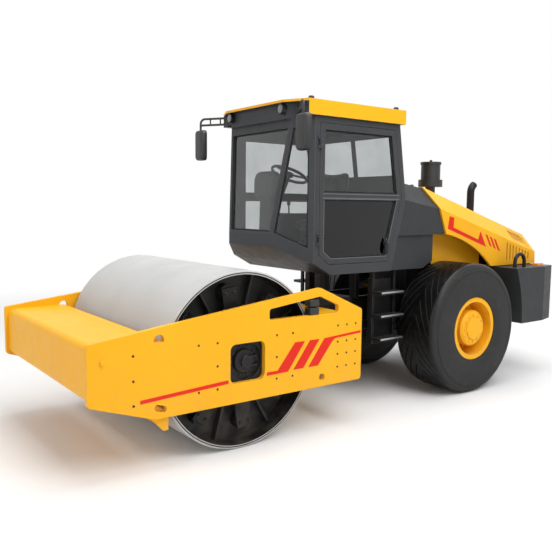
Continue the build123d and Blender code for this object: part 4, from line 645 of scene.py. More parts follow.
class Paintbox:
    """All finishes of the machine, made once and handed out by name."""

    FINISHES = (
        Enamel("yellow_enamel", (0.90, 0.44, 0.012), (0.87, 0.415, 0.010), 0.42, 0.04, 0.15),
        Enamel("charcoal_enamel", (0.050, 0.052, 0.056), (0.044, 0.046, 0.050), 0.45, 0.06, 0.08),
        DrumCoat("drum_enamel", (0.50, 0.50, 0.49), (0.45, 0.45, 0.44), 0.42, 0.10, 0.25, 0.55, 0.06),
        RoofCoat("roof_enamel", (0.90, 0.44, 0.012), (0.87, 0.415, 0.010), 0.42, 0.04),
        Enamel("black_enamel", (0.009, 0.009, 0.010), (0.014, 0.014, 0.015), 0.42, 0.10, 0.06),
        Enamel("weight_enamel", (0.040, 0.042, 0.044), (0.034, 0.036, 0.038), 0.50, 0.05, 0.12),
        Enamel("red_enamel", (0.74, 0.020, 0.008), (0.68, 0.018, 0.007), 0.40, 0.05, 0.10, 1.0, 0.05, 0.001),
        Enamel("trim_enamel", (0.15, 0.153, 0.156), (0.13, 0.133, 0.136), 0.45, 0.10, 0.05, 1.0, 0.10, 0.002),
        Metal("plated_rod", (0.72, 0.73, 0.74), 0.14),
        Metal("zinc_plate", (0.52, 0.52, 0.53), 0.38, (60.0, 60.0, 60.0)),
        TyreRubber("tyre_rubber", grey(0.019), grey(0.024), 0.60, 0.0006, 0.08),
        Rubber("buffer_rubber", grey(0.016), grey(0.026), 0.55, 0.0003, 0.10),
        Rubber("seal_rubber", grey(0.012), grey(0.018), 0.50, 0.0002, 0.05),
        Glazing("cab_glass_tint", (0.68, 0.70, 0.70)),
        Moulding("dark_moulding", grey(0.012), grey(0.018), 0.45),
        Moulding("amber_lens", (0.85, 0.28, 0.02), (0.80, 0.24, 0.018), 0.15, 0.0004, 160.0, 0.6),
        Moulding("clear_lens", (0.16, 0.165, 0.17), (0.12, 0.125, 0.13), 0.12, 0.0005, 160.0, 0.6),
        Metal("mirror_silver", (0.86, 0.87, 0.88), 0.03, (2.0, 2.0, 2.0)),
        Cloth("seat_weave"),
    )

    def __init__(self) -> None:
        """Make every material."""
        self.materials = {finish.name: finish.build() for finish in self.FINISHES}

    def get(self, name: str) -> bpy.types.Material:
        """The material of that name."""
        return self.materials[name]


@dataclass(frozen=True)
class NodeDress:
    """Which finish each solid carries."""

    finish: str
    nodes: tuple[str, ...]


NODE_DRESSES = (
    NodeDress("yellow_enamel", ("side_plate_left", "side_plate_right", "front_beam", "rear_crossbeam", "hood",
                                "rim_left", "rim_right", "bay_sides", "scraper")),
    NodeDress("roof_enamel", ("cab_roof",)),
    NodeDress("charcoal_enamel", ("cab_wall_left", "cab_wall_right", "cab_front", "cab_rear", "door")),
    NodeDress("weight_enamel", ("counterweight", "cowl")),
    NodeDress("drum_enamel", ("drum",)),
    NodeDress("black_enamel", ("rear_frame", "rear_axle", "yoke", "tanks", "ladders", "cab_mounts", "exhaust",
                               "engine_block", "drum_carriers", "steer_barrel_left", "steer_barrel_right",
                               "cab_floor", "seat_base", "tie_loops")),
    NodeDress("plated_rod", ("steer_rod_left", "steer_rod_right")),
    NodeDress("tyre_rubber", ("tyre_left", "tyre_right")),
    NodeDress("buffer_rubber", ("drum_buffers",)),
    NodeDress("cab_glass_tint", ("cab_glass", "door_glass")),
    NodeDress("seat_weave", ("seat",)),
    NodeDress("dark_moulding", ("console", "steering_wheel", "mirrors", "pre_cleaner", "work_lamps")),
    NodeDress("amber_lens", ("tail_lamps",)),
)


def dress_nodes(nodes: dict, paints: Paintbox) -> None:
    """Give every solid its finish.

    Args:
        nodes: Solids by name.
        paints: The machine's finishes.
    """
    for dress in NODE_DRESSES:
        for name in dress.nodes:
            solid = nodes[name]
            solid.data.materials.clear()
            solid.data.materials.append(paints.get(dress.finish))
            LOG.info("solid %s wears %s", name, dress.finish)


class Axis(Enum):
    """The machine's axes that a turned piece can lie along."""

    X = "x"
    Y = "y"
    Z = "z"

    def spin(self, radius: float, along: float, turn: float) -> Vector:
        """Point at a radius and a turn round this axis.

        Args:
            radius: Distance from the axis.
            along: Place along the axis.
            turn: Turn round the axis.

        Returns:
            The point.
        """
        one = radius * math.cos(turn)
        two = radius * math.sin(turn)
        return Vector({Axis.X: (along, one, two), Axis.Y: (one, along, two), Axis.Z: (one, two, along)}[self])


def even_turns(count: int) -> list[float]:
    """Equal turns round a full circle."""
    return [2 * math.pi * step / count for step in range(count)]


def axle_spots(axle: Flat, side: int, face: float, circle: float, turns: Sequence[float]) -> list[Spot]:
    """Feet and aims of bolts on a circle round an axle.

    Args:
        axle: Place of the axle along the machine and its height.
        side: 1 for the left side, -1 for the right.
        face: Distance of the feet from the machine's middle.
        circle: Radius of the circle.
        turns: Turn of each bolt round the axle.

    Returns:
        The feet and aims.
    """
    spots = [Axis.Y.spin(circle, side * face, turn) for turn in turns]
    return [((spot.x + axle[0], spot.y, spot.z + axle[1]), (0.0, side, 0.0)) for spot in spots]


def put(name: str, data: bpy.types.ID) -> bpy.types.Object:
    """Add an object to the scene.

    Args:
        name: Name of the object.
        data: Its mesh, camera or light.

    Returns:
        The object.
    """
    thing = bpy.data.objects.new(name, data)
    bpy.context.collection.objects.link(thing)
    return thing


def bake(piece: bpy.types.Object) -> None:
    """Put a piece's evaluated mesh in its place and drop its modifiers.

    Args:
        piece: The piece.
    """
    grown = piece.evaluated_get(bpy.context.evaluated_depsgraph_get())
    mesh = bpy.data.meshes.new_from_object(grown)
    piece.modifiers.clear()
    piece.data = mesh


def smooth_run(points: Sequence[Flat], steps: int) -> list[Flat]:
    """Smooth curve through flat points.

    Args:
        points: The points to pass through.
        steps: Steps between neighbouring points.

    Returns:
        Points along the curve, ends included.
    """
    knots = [Vector(point) for point in points]
    knots = [knots[0] * 2 - knots[1]] + knots + [knots[-1] * 2 - knots[-2]]
    run: list[Flat] = []
    for one, two, three, four in zip(knots, knots[1:], knots[2:], knots[3:]):
        for step in range(steps):
            t = step / steps
            spot = (two * 2 + (three - one) * t + (one * 2 - two * 5 + three * 4 - four) * t * t
                    + (two * 3 - one - three * 3 + four) * t ** 3) / 2
            run.append((spot.x, spot.y))
    run.append(tuple(points[-1]))
    return run


class Shape:
    """A mesh under construction, in the machine's own coordinates."""

    def __init__(self) -> None:
        """Start empty."""
        self.mesh = bmesh.new()

    def finish(self, name: str) -> bpy.types.Mesh:
        """Plain mesh of the shape, which is used up by this.

        Args:
            name: Name of the mesh.

        Returns:
            The mesh.
        """
        bmesh.ops.recalc_face_normals(self.mesh, faces=self.mesh.faces)
        mesh = bpy.data.meshes.new(name)
        self.mesh.to_mesh(mesh)
        self.mesh.free()
        return mesh

    def skin(self, rings: Sequence[Sequence[bmesh.types.BMVert]],
             closed: bool = False) -> list[bmesh.types.BMFace]:
        """Join neighbouring rings by faces, where a ring of one point makes a tip.

        Args:
            rings: The rings in order.
            closed: Whether the last ring joins the first.

        Returns:
            The faces.
        """
        pairs = list(zip(rings, rings[1:]))
        if closed:
            pairs.append((rings[-1], rings[0]))
        faces = []
        for one, two in pairs:
            steps = max(len(one), len(two))
            for step in range(steps):
                ahead = (step + 1) % steps
                corners = [ring[turn % len(ring)] for ring, turn in
                           ((one, step), (one, ahead), (two, ahead), (two, step))]
                faces.append(self.mesh.faces.new(list(dict.fromkeys(corners))))
        return faces

    def slab(self, outline: Sequence[Sequence[float]], rise: Sequence[float], rounding: float = 0.0,
             segments: int = 2) -> None:
        """Add a flat outline drawn out along a rise.

        Args:
            outline: Corners of the outline.
            rise: The way and distance that it is drawn out.
            rounding: Radius of its edges, or 0.
            segments: Faces across each rounded edge.
        """
        low = [self.mesh.verts.new(corner) for corner in outline]
        high = [self.mesh.verts.new(Vector(corner) + Vector(rise)) for corner in outline]
        faces = [self.mesh.faces.new(low), self.mesh.faces.new(high)] + self.skin((low, high))
        if rounding:
            edges = {edge for face in faces for edge in face.edges}
            bmesh.ops.bevel(self.mesh, geom=list(edges), offset=rounding, segments=segments, affect="EDGES",
                            profile=0.5, clamp_overlap=True)

    def block(self, low: Point, high: Point, rounding: float, segments: int = 2) -> None:
        """Add a rounded block between two corners.

        Args:
            low: Lowest corner.
            high: Highest corner.
            rounding: Radius of its edges.
            segments: Faces across each rounded edge.
        """
        outline = [(low[0], low[1], low[2]), (high[0], low[1], low[2]), (high[0], high[1], low[2]),
                   (low[0], high[1], low[2])]
        self.slab(outline, (0.0, 0.0, high[2] - low[2]), rounding, segments)

    def side_block(self, side: int, x: Flat, y: Flat, z: Flat, rounding: float, segments: int = 2) -> None:
        """Add a rounded block on one side of the machine.

        Args:
            side: 1 for the left side, -1 for the right.
            x: Its ends along the machine.
            y: Distances of its faces from the machine's middle.
            z: Its lowest and highest level.
            rounding: Radius of its edges.
            segments: Faces across each rounded edge.
        """
        near, far = sorted((side * y[0], side * y[1]))
        self.block((x[0], near, z[0]), (x[1], far, z[1]), rounding, segments)

    def decal(self, side: int, face: float, outline: Sequence[Flat]) -> None:
        """Add a thin coloured patch on a side face.

        Args:
            side: 1 for the left side, -1 for the right.
            face: Distance of the face from the machine's middle.
            outline: Corners as (x, z) points.
        """
        self.slab([(x, side * (face - DECAL_SUNK), z) for x, z in outline],
                  (0.0, side * (DECAL_PROUD + DECAL_SUNK), 0.0))

    def lathe(self, profile: Sequence[Flat], centre: Point, axis: Axis, steps: int = 32,
              closed: bool = False) -> None:
        """Turn a profile round an axis.

        Args:
            profile: Points of (radius, place along the axis).
            centre: A point on the axis.
            axis: The axis.
            steps: Faces round the axis.
            closed: Whether the profile's end joins its start.
        """
        rings = []
        for radius, along in profile:
            turns = even_turns(steps) if radius > 0.0 else [0.0]
            spots = [Vector(centre) + axis.spin(radius, along, turn) for turn in turns]
            rings.append([self.mesh.verts.new(spot) for spot in spots])
        self.skin(rings, closed)

    def loft(self, rings: Sequence[Sequence[Sequence[float]]]) -> None:
        """Add a closed skin over rings of equal count.

        Args:
            rings: The rings from one end to the other.
        """
        loops = [[self.mesh.verts.new(point) for point in ring] for ring in rings]
        self.skin(loops)
        self.mesh.faces.new(loops[0])
        self.mesh.faces.new(loops[-1])

    def tube(self, path: Sequence[Sequence[float]], radius: float, sides: int = 10,
             radii: Optional[Sequence[float]] = None) -> None:
        """Add a round bar along a path.

        Args:
            path: Points of the path.
            radius: Radius of the bar.
            sides: Faces round it.
            radii: Radius at each point, where it changes.
        """
        spots = [Vector(point) for point in path]
        along = spots[1] - spots[0]
        side = along.orthogonal().normalized()
        rings = []
        for index, spot in enumerate(spots):
            ahead = (spots[min(index + 1, len(spots) - 1)] - spots[max(index - 1, 0)]).normalized()
            if ahead.dot(along) < 0:
                ahead = -ahead
            along = ahead
            side = (side - ahead * side.dot(ahead)).normalized()
            other = ahead.cross(side)
            reach = radii[index] if radii else radius
            rings.append([self.mesh.verts.new(spot + (side * math.cos(turn) + other * math.sin(turn)) * reach)
                          for turn in even_turns(sides)])
        self.skin(rings)
        self.mesh.faces.new(rings[0])
        self.mesh.faces.new(rings[-1])

    def frame(self, outline: Sequence[Vector], normal: Vector, outer: float, inner: float,
              height: float) -> None:
        """Add a raised frame along a convex outline.

        Args:
            outline: Corners of the outline.
            normal: The way that the frame stands up.
            outer: Distance of its outer edge inside the outline, less than 0 for outside.
            inner: Distance of its inner edge inside the outline.
            height: How far it stands up.
        """
        wedge = height * 0.5
        loops = []
        for inset, lift in ((outer, 0.0), (outer + wedge, height), (inner - wedge, height), (inner, 0.0)):
            loops.append([self.mesh.verts.new(corner + normal * lift)
                          for corner in inset_outline(outline, normal, inset)])
        self.skin(loops, closed=True)


def inset_outline(outline: Sequence[Vector], normal: Vector, inset: float) -> list[Vector]:
    """Convex outline with every edge moved inwards.

    Args:
        outline: Corners, either way round.
        normal: Normal of the outline's plane.
        inset: Distance of the move, less than 0 for outwards.

    Returns:
        The moved corners.
    """
    middle = sum(outline, Vector()) / len(outline)
    moved = []
    for step, corner in enumerate(outline):
        before = outline[step - 1]
        after = outline[(step + 1) % len(outline)]
        inward = []
        for one, two in ((before, corner), (corner, after)):
            across = normal.cross(two - one).normalized()
            inward.append(across if across.dot(middle - one) > 0 else -across)
        moved.append(corner + (inward[0] + inward[1]) / (1 + inward[0].dot(inward[1])) * inset)
    return moved


@dataclass(frozen=True)
class Stud:
    """Sizes of one kind of bolt head, plug or step stud."""

    head_radius: float
    head_height: float
    washer_radius: float
    washer_height: float
    sides: int = 6


class StudTree:
    """Geometry Nodes tree that sets one stud with its washer on every point of a mesh."""

    INPUTS = (("Head Radius", "NodeSocketFloat"), ("Head Height", "NodeSocketFloat"),
              ("Washer Radius", "NodeSocketFloat"), ("Washer Height", "NodeSocketFloat"),
              ("Sides", "NodeSocketInt"), ("Finish", "NodeSocketMaterial"))
    WASHER_SIDES = 16

    def __init__(self) -> None:
        """Build the tree."""
        self.tree = bpy.data.node_groups.new("studs_on_points", "GeometryNodeTree")
        face = self.tree.interface
        face.new_socket("Points", in_out="INPUT", socket_type="NodeSocketGeometry")
        self.keys = {name: face.new_socket(name, in_out="INPUT", socket_type=kind).identifier
                     for name, kind in self.INPUTS}
        face.new_socket("Studs", in_out="OUTPUT", socket_type="NodeSocketGeometry")
        given = self.node("NodeGroupInput").outputs
        head, head_lift = self.cylinder(given, "Head Radius", "Head Height", "Washer Height")
        self.tree.links.new(given["Sides"], head.inputs["Vertices"])
        washer, washer_lift = self.cylinder(given, "Washer Radius", "Washer Height", None)
        washer.inputs["Vertices"].default_value = self.WASHER_SIDES
        join = self.node("GeometryNodeJoinGeometry")
        for lift in (head_lift, washer_lift):
            self.tree.links.new(lift.outputs["Geometry"], join.inputs["Geometry"])
        aim = self.node("GeometryNodeInputNamedAttribute")
        aim.data_type = "FLOAT_VECTOR"
        aim.inputs["Name"].default_value = "aim"
        turn = self.node("FunctionNodeAlignRotationToVector", Vector=aim.outputs["Attribute"])
        turn.axis = "Z"
        place = self.node("GeometryNodeInstanceOnPoints", Points=given["Points"],
                          Instance=join.outputs["Geometry"], Rotation=turn.outputs["Rotation"])
        real = self.node("GeometryNodeRealizeInstances", Geometry=place.outputs["Instances"])
        paint = self.node("GeometryNodeSetMaterial", Geometry=real.outputs["Geometry"],
                          Material=given["Finish"])
        self.node("NodeGroupOutput", Studs=paint.outputs["Geometry"])

    def node(self, kind: str, **sources: bpy.types.NodeSocket) -> bpy.types.Node:
        """Add a node and link its inputs.

        Args:
            kind: The node's type.
            sources: Outputs by the name of the input that each goes to.

        Returns:
            The node.
        """
        node = self.tree.nodes.new(kind)
        for key, source in sources.items():
            self.tree.links.new(source, node.inputs[key])
        return node

    def cylinder(self, given: bpy.types.bpy_prop_collection, radius: str, height: str,
                 below: Optional[str]) -> tuple[bpy.types.Node, bpy.types.Node]:
        """Add an upright cylinder that stands on z 0 or on another height.

        Args:
            given: The values that the tree is given.
            radius: Name of the radius input.
            height: Name of the height input.
            below: Name of the input that it stands on.

        Returns:
            The cylinder's node and the node that lifts it.
        """
        body = self.node("GeometryNodeMeshCylinder", Radius=given[radius], Depth=given[height])
        half = self.node("ShaderNodeMath")
        half.operation = "MULTIPLY_ADD"
        half.inputs[1].default_value = 0.5
        half.inputs[2].default_value = 0.0
        self.tree.links.new(given[height], half.inputs[0])
        if below:
            self.tree.links.new(given[below], half.inputs[2])
        offset = self.node("ShaderNodeCombineXYZ", Z=half.outputs["Value"])
        return body, self.node("GeometryNodeTransform", Geometry=body.outputs["Mesh"],
                               Translation=offset.outputs["Vector"])

    def grow(self, name: str, spots: Sequence[Spot], stud: Stud,
             finish: bpy.types.Material) -> bpy.types.Object:
        """Make a plain mesh of studs.

        Args:
            name: Name of the piece.
            spots: Foot and direction of each stud.
            stud: Sizes of the studs.
            finish: Their material.

        Returns:
            The piece.
        """
        seed = bpy.data.meshes.new(name)
        seed.from_pydata([spot for spot, _aim in spots], [], [])
        aims = seed.attributes.new("aim", "FLOAT_VECTOR", "POINT")
        for index, (_spot, aim) in enumerate(spots):
            aims.data[index].vector = aim
        piece = put(name, seed)
        modifier = piece.modifiers.new("studs", "NODES")
        modifier.node_group = self.tree
        values = {"Head Radius": stud.head_radius, "Head Height": stud.head_height,
                  "Washer Radius": stud.washer_radius, "Washer Height": stud.washer_height,
                  "Sides": stud.sides, "Finish": finish}
        for key, value in values.items():
            modifier[self.keys[key]] = value
        bake(piece)
        piece.data.name = name
        return piece


class Bench:
    """Where shapes become painted pieces that ride on a body."""

    SHARP = math.radians(32.0)

    def __init__(self, paints: Paintbox, nodes: dict) -> None:
        """Keep the finishes and solids, and make the stud tree.

        Args:
            paints: The machine's finishes.
            nodes: Solids by name.
        """
        self.paints = paints
        self.nodes = nodes
        self.studs = StudTree()

    def settle(self, shape: Shape, name: str, finish: str, body: Body,
               replaces: Sequence[str] = ()) -> None:
        """Turn a shape into a piece.

        Args:
            shape: The finished shape.
            name: Name of the piece.
            finish: Name of its finish.
            body: The body that it rides on.
            replaces: Solids that it stands for.
        """
        mesh = shape.finish(name)
        mesh.shade_smooth()
        mesh.set_sharp_from_angle(angle=self.SHARP)
        mesh.materials.append(self.paints.get(finish))
        self.mount(put(name, mesh), body, replaces)

    def stud(self, name: str, spots: Sequence[Spot], stud: Stud, finish: str, body: Body, slot: Slot) -> None:
        """Set studs on points of one body.

        Args:
            name: Name of the piece.
            spots: Foot and direction of each stud.
            stud: Sizes of the studs.
            finish: Name of their finish.
            body: The body that they ride on.
            slot: The record's material slot; not used.
        """
        self.mount(self.studs.grow(name, spots, stud, self.paints.get(finish)), body)

    def mount(self, piece: bpy.types.Object, body: Body, replaces: Sequence[str] = ()) -> None:
        """Let a piece ride on its body.

        Args:
            piece: The piece.
            body: The body that it rides on.
            replaces: Solids that it stands for.
        """
        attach(piece, body.value)
        if replaces:
            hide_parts(*replaces)
        LOG.info("piece %s: %d faces on %s", piece.name, len(piece.data.polygons), body.value)


@dataclass(frozen=True)
class PlateTrim:
    """Stripes, plugged holes and the clamp on the two side plates."""

    face: float = 1.152
    stripe: float = 0.032
    front_end: Flat = (2.773, 0.612)
    window_front: Flat = (1.952, 0.654)
    window_rear: Flat = (1.549, 0.663)
    bar_front: float = 1.427
    bar_pitch: float = 0.178
    bar_wide: float = 0.119
    bar_lean: float = 0.196
    bar_foot: float = 0.660
    bar_head: float = 0.916
    rear_end: Flat = (0.403, 0.936)
    hole_rows: tuple[float, ...] = (1.006, 0.806, 0.606)
    hole_near: float = 0.312
    hole_far: float = 0.4945
    front_column: float = 1.078
    front_rows: tuple[float, ...] = (0.992, 0.790, 0.592)
    rear_columns: tuple[float, ...] = (-1.045, -1.161, -1.278)
    rear_rows: tuple[float, ...] = (1.021, 0.862, 0.741, 0.615)
    plug: Stud = Stud(0.0080, 0.0005, 0.0105, 0.0005, 14)
    clamp_x: Flat = (0.950, 1.062)
    clamp_y: Flat = (1.070, 1.164)
    clamp_z: Flat = (1.153, 1.296)
    jaw_gap: float = 0.004
    jaw_round: float = 0.012
    foot_inset: float = 0.02
    foot_behind: float = 0.0502
    foot_drop: float = 0.13
    foot_rise: float = 0.04
    foot_round: float = 0.003
    knee_drop: float = 2.4

    def bar(self, index: int) -> list[Flat]:
        """Outline of one slanted bar.

        Args:
            index: Number of the bar, from the front.

        Returns:
            Its corners as (x, z) points.
        """
        front = self.bar_front - self.bar_pitch * index
        return [(front, self.bar_foot), (front - self.bar_lean, self.bar_head),
                (front - self.bar_lean - self.bar_wide, self.bar_head),
                (front - self.bar_wide, self.bar_foot)]

    def stripes(self) -> list[list[Flat]]:
        """Outlines of every stripe and bar as (x, z) points.

        Returns:
            The outlines.
        """
        half = self.stripe / 2
        (front_x, front_z), (window_x, window_z) = self.front_end, self.window_front
        ahead = [(front_x, front_z + half), (window_x, window_z + half), (window_x, window_z - half),
                 (front_x, front_z - half)]
        rear_x, rear_z = self.window_rear
        first = self.bar(0)
        first = [(rear_x, rear_z + half), (first[0][0], rear_z + half)] + first[1:3]
        first += [(first[-1][0] + self.bar_lean, self.bar_foot - half / 2), (rear_x, rear_z - half)]
        end_x, end_z = self.rear_end
        last = self.bar(2)
        knee = last[2][0]
        last = last[:2] + [(end_x, end_z + half / 2), (end_x, end_z - half),
                           (knee - half, self.bar_head - half),
                           (knee + half, self.bar_head - half * self.knee_drop), last[3]]
        return [ahead, first, self.bar(1), last]

    def holes(self) -> list[Flat]:
        """Places of the plugged holes as (x, z) points.

        Returns:
            The places.
        """
        spots = [(way * self.hole_near, row) for way in (1, -1) for row in self.hole_rows]
        spots += [(way * self.hole_far, row) for way in (1, -1) for row in self.hole_rows[::2]]
        spots += [(self.front_column, row) for row in self.front_rows]
        spots += [(column, row) for column in self.rear_columns for row in self.rear_rows]
        return [(DRUM_X + ahead, row) for ahead, row in spots]

    def clamp(self, side: int) -> Shape:
        """Hose clamp behind the slot: two jaws on a foot.

        Args:
            side: 1 for the left plate, -1 for the right.

        Returns:
            The shape.
        """
        shape = Shape()
        low, high = self.clamp_z
        middle = sum(self.clamp_z) / 2
        for jaw in ((low, middle - self.jaw_gap), (middle + self.jaw_gap, high)):
            shape.side_block(side, self.clamp_x, self.clamp_y, jaw, self.jaw_round, segments=3)
        foot_x = (self.clamp_x[0] + self.foot_inset, self.clamp_x[1] - self.foot_inset)
        foot_y = (self.clamp_y[0], self.face - self.foot_behind)
        shape.side_block(side, foot_x, foot_y, (low - self.foot_drop, low + self.foot_rise), self.foot_round)
        return shape

    def build(self, bench: Bench) -> None:
        """Dress both plates.

        Args:
            bench: Where the pieces are made.
        """
        for side, name in SIDES:
            shape = Shape()
            for outline in self.stripes():
                shape.decal(side, self.face, outline)
            bench.settle(shape, f"plate_stripes_{name}", "red_enamel", Body.FRONT)
            spots = [((x, side * self.face, z), (0.0, side, 0.0)) for x, z in self.holes()]
            bench.stud(f"plate_plugs_{name}", spots, self.plug, "seal_rubber", Body.FRONT, Slot.BLACK)
            bench.settle(self.clamp(side), f"hose_clamp_{name}", "dark_moulding", Body.FRONT)


@dataclass(frozen=True)
class Tyre:
    """One tyre: smooth side walls and slanted grooves on both halves of its tread."""

    side: int
    name: str
    body: Body
    radius: float = 0.760
    middle: float = 0.845
    grooves: int = 28
    depth: float = 0.018
    groove_turn: float = math.radians(2.6)
    sweep: float = math.radians(30.0)
    groove_from: float = 0.026
    groove_to: float = 0.224
    draft: float = 0.004
    tread_rows: int = 7
    outer_wall: tuple[Flat, ...] = ((0.3707, 0.276), (0.470, 0.2885), (0.590, 0.290), (0.700, 0.2815),
                                    (0.742, 0.260), (0.760, 0.230))
    inner_wall: tuple[Flat, ...] = ((0.3707, 0.240), (0.470, 0.2800), (0.590, 0.290), (0.700, 0.2815),
                                    (0.742, 0.260), (0.760, 0.230))
    bead: float = 0.332
    bead_side: float = 0.2487
    bead_side_in: float = 0.2137
    ring: float = 0.676
    ring_wide: float = 0.006
    ring_high: float = 0.0060
    ring_profile: tuple[Flat, ...] = ((-1.0, 0.0), (-0.4, 1.0), (0.4, 1.0), (1.0, 0.0))
    wall_steps: int = 7

    def wall(self, points: Sequence[Flat]) -> list[Flat]:
        """Side wall from its bead to its shoulder, with the moulded ring.

        Args:
            points: Points of (radius, distance from the middle) that it passes through.

        Returns:
            Closer points of the same wall.
        """
        plain = smooth_run(points, self.wall_steps)
        run = []
        for (radius, aside), (after, beyond) in zip(plain, plain[1:]):
            run.append((radius, aside))
            if radius < self.ring <= after:
                slope = (beyond - aside) / (after - radius)
                for shift, rise in self.ring_profile:
                    place = self.ring + shift * self.ring_wide
                    run.append((place, aside + slope * (place - radius) + rise * self.ring_high))
        run.append(plain[-1])
        return sorted(run[:-1]) + run[-1:]

    def rows(self) -> list[tuple[float, float, float]]:
        """Rings of the tyre as (radius, place across, share of a groove's depth), from outer to inner bead.

        Returns:
            The rings.
        """
        span = self.groove_to - self.groove_from
        tread = [(self.radius, self.groove_to, 0.0), (self.radius, self.groove_to - self.draft, 1.0)]
        tread += [(self.radius, self.groove_to - span * step / self.tread_rows, 1.0)
                  for step in range(1, self.tread_rows)]
        tread += [(self.radius, self.groove_from + self.draft, 1.0), (self.radius, self.groove_from, 0.0)]
        outer = [(self.bead, self.bead_side, 0.0), (self.outer_wall[0][0], self.bead_side, 0.0)]
        outer += [(radius, aside, 0.0) for radius, aside in self.wall(self.outer_wall)]
        inner = [(self.bead, self.bead_side_in, 0.0), (self.inner_wall[0][0], self.bead_side_in, 0.0)]
        inner += [(radius, aside, 0.0) for radius, aside in self.wall(self.inner_wall)]
        near = outer + tread
        far = [(radius, -aside, share) for radius, aside, share in inner + tread]
        return near + far[::-1]

    def columns(self) -> list[tuple[float, float, float]]:
        """Turns round the tyre with the groove depth there on the outer and on the inner half.

        Returns:
            The turns.
        """
        pitch = 2 * math.pi / self.grooves
        slope = self.draft / self.radius * 2
        inside = [(0.0, 0.0), (slope, 1.0), (self.groove_turn - slope, 1.0), (self.groove_turn, 0.0)]
        rest = (pitch / 2 - self.groove_turn) / 3
        land = [(self.groove_turn + rest, 0.0), (self.groove_turn + rest * 2, 0.0)]
        turns = []
        for step in range(self.grooves):
            start = pitch * step
            turns += [(start + turn, cut, 0.0) for turn, cut in inside + land]
            turns += [(start + pitch / 2 + turn, 0.0, cut) for turn, cut in inside + land]
        return turns

    def build(self, bench: Bench) -> None:
        """Make the tyre in place of its solid.

        Args:
            bench: Where the piece is made.
        """
        shape = Shape()
        span = self.groove_to - self.groove_from
        rings = []
        for radius, across, share in self.rows():
            reach = min(max((abs(across) - self.groove_from) / span, 0.0), 1.0)
            ring = []
            for turn, outer_cut, inner_cut in self.columns():
                cut = (outer_cut if across > 0 else inner_cut) * share * self.depth
                spot = Axis.Y.spin(radius - cut, self.side * (self.middle + across),
                                   turn - self.sweep * reach)
                ring.append(shape.mesh.verts.new(spot + Vector((AXLE_X, 0.0, AXLE_Z))))
            rings.append(ring)
        shape.skin(rings, closed=True)
        bench.settle(shape, f"{self.name}_tread", "tyre_rubber", self.body, (self.name,))


@dataclass(frozen=True)
class HubTrim:
    """Bolts on the wheel hubs and nuts on the rims' discs."""

    face: float = 1.095
    bolt_circle: float = 0.156
    bolts: int = 12
    bolt: Stud = Stud(0.011, 0.009, 0.016, 0.003)
    disc_face: float = 0.865
    nut_circle: float = 0.262
    nuts: int = 20
    nut: Stud = Stud(0.016, 0.018, 0.021, 0.004)

    def build(self, bench: Bench) -> None:
        """Bolt both wheels.

        Args:
            bench: Where the pieces are made.
        """
        for (side, name), body in zip(SIDES, (Body.WHEEL_LEFT, Body.WHEEL_RIGHT)):
            bolts = axle_spots((AXLE_X, AXLE_Z), side, self.face, self.bolt_circle, even_turns(self.bolts))
            bench.stud(f"hub_bolts_{name}", bolts, self.bolt, "yellow_enamel", body, Slot.YELLOW)
            nuts = axle_spots((AXLE_X, AXLE_Z), side, self.disc_face, self.nut_circle, even_turns(self.nuts))
            bench.stud(f"wheel_nuts_{name}", nuts, self.nut, "yellow_enamel", body, Slot.YELLOW)


@dataclass(frozen=True)
class DrumTrim:
    """Bolts round the drum's spider hubs and through its buffers."""

    hub_face: float = 0.975
    hub_circle: float = 0.190
    hub_bolts: int = 16
    arm_circle: float = 0.600
    arms: int = 8
    first_arm: float = math.radians(7.5)
    arm_spread: float = 0.045
    bolt: Stud = Stud(0.014, 0.013, 0.020, 0.004)

    def build(self, bench: Bench) -> None:
        """Bolt both ends.

        Args:
            bench: Where the pieces are made.
        """
        for side, name in SIDES:
            axle = (DRUM_X, DRUM_Z)
            spots = axle_spots(axle, side, self.hub_face, self.hub_circle, even_turns(self.hub_bolts))
            turns = [-self.first_arm - turn + shift / self.arm_circle for turn in even_turns(self.arms)
                     for shift in (self.arm_spread, -self.arm_spread)]
            spots += axle_spots(axle, side, self.hub_face, self.arm_circle, turns)
            bench.stud(f"drum_bolts_{name}", spots, self.bolt, "black_enamel", Body.DRUM, Slot.BLACK)


def glass_panes(solid: bpy.types.Object) -> list[tuple[list[Vector], Vector]]:
    """Outlines of a glass solid's panes, on both faces of each.

    Args:
        solid: The glass solid.

    Returns:
        Corners and outward normal of each pane's faces.
    """
    copy = bmesh.new()
    copy.from_mesh(solid.data)
    bmesh.ops.remove_doubles(copy, verts=copy.verts, dist=PANE_WELD)
    bmesh.ops.dissolve_limit(copy, angle_limit=PANE_FLAT, verts=copy.verts, edges=copy.edges)
    faces = [face for face in copy.faces if face.calc_area() > PANE_AREA]
    found = [([loop.vert.co.copy() for loop in face.loops], face.normal.copy()) for face in faces]
    copy.free()
    return found


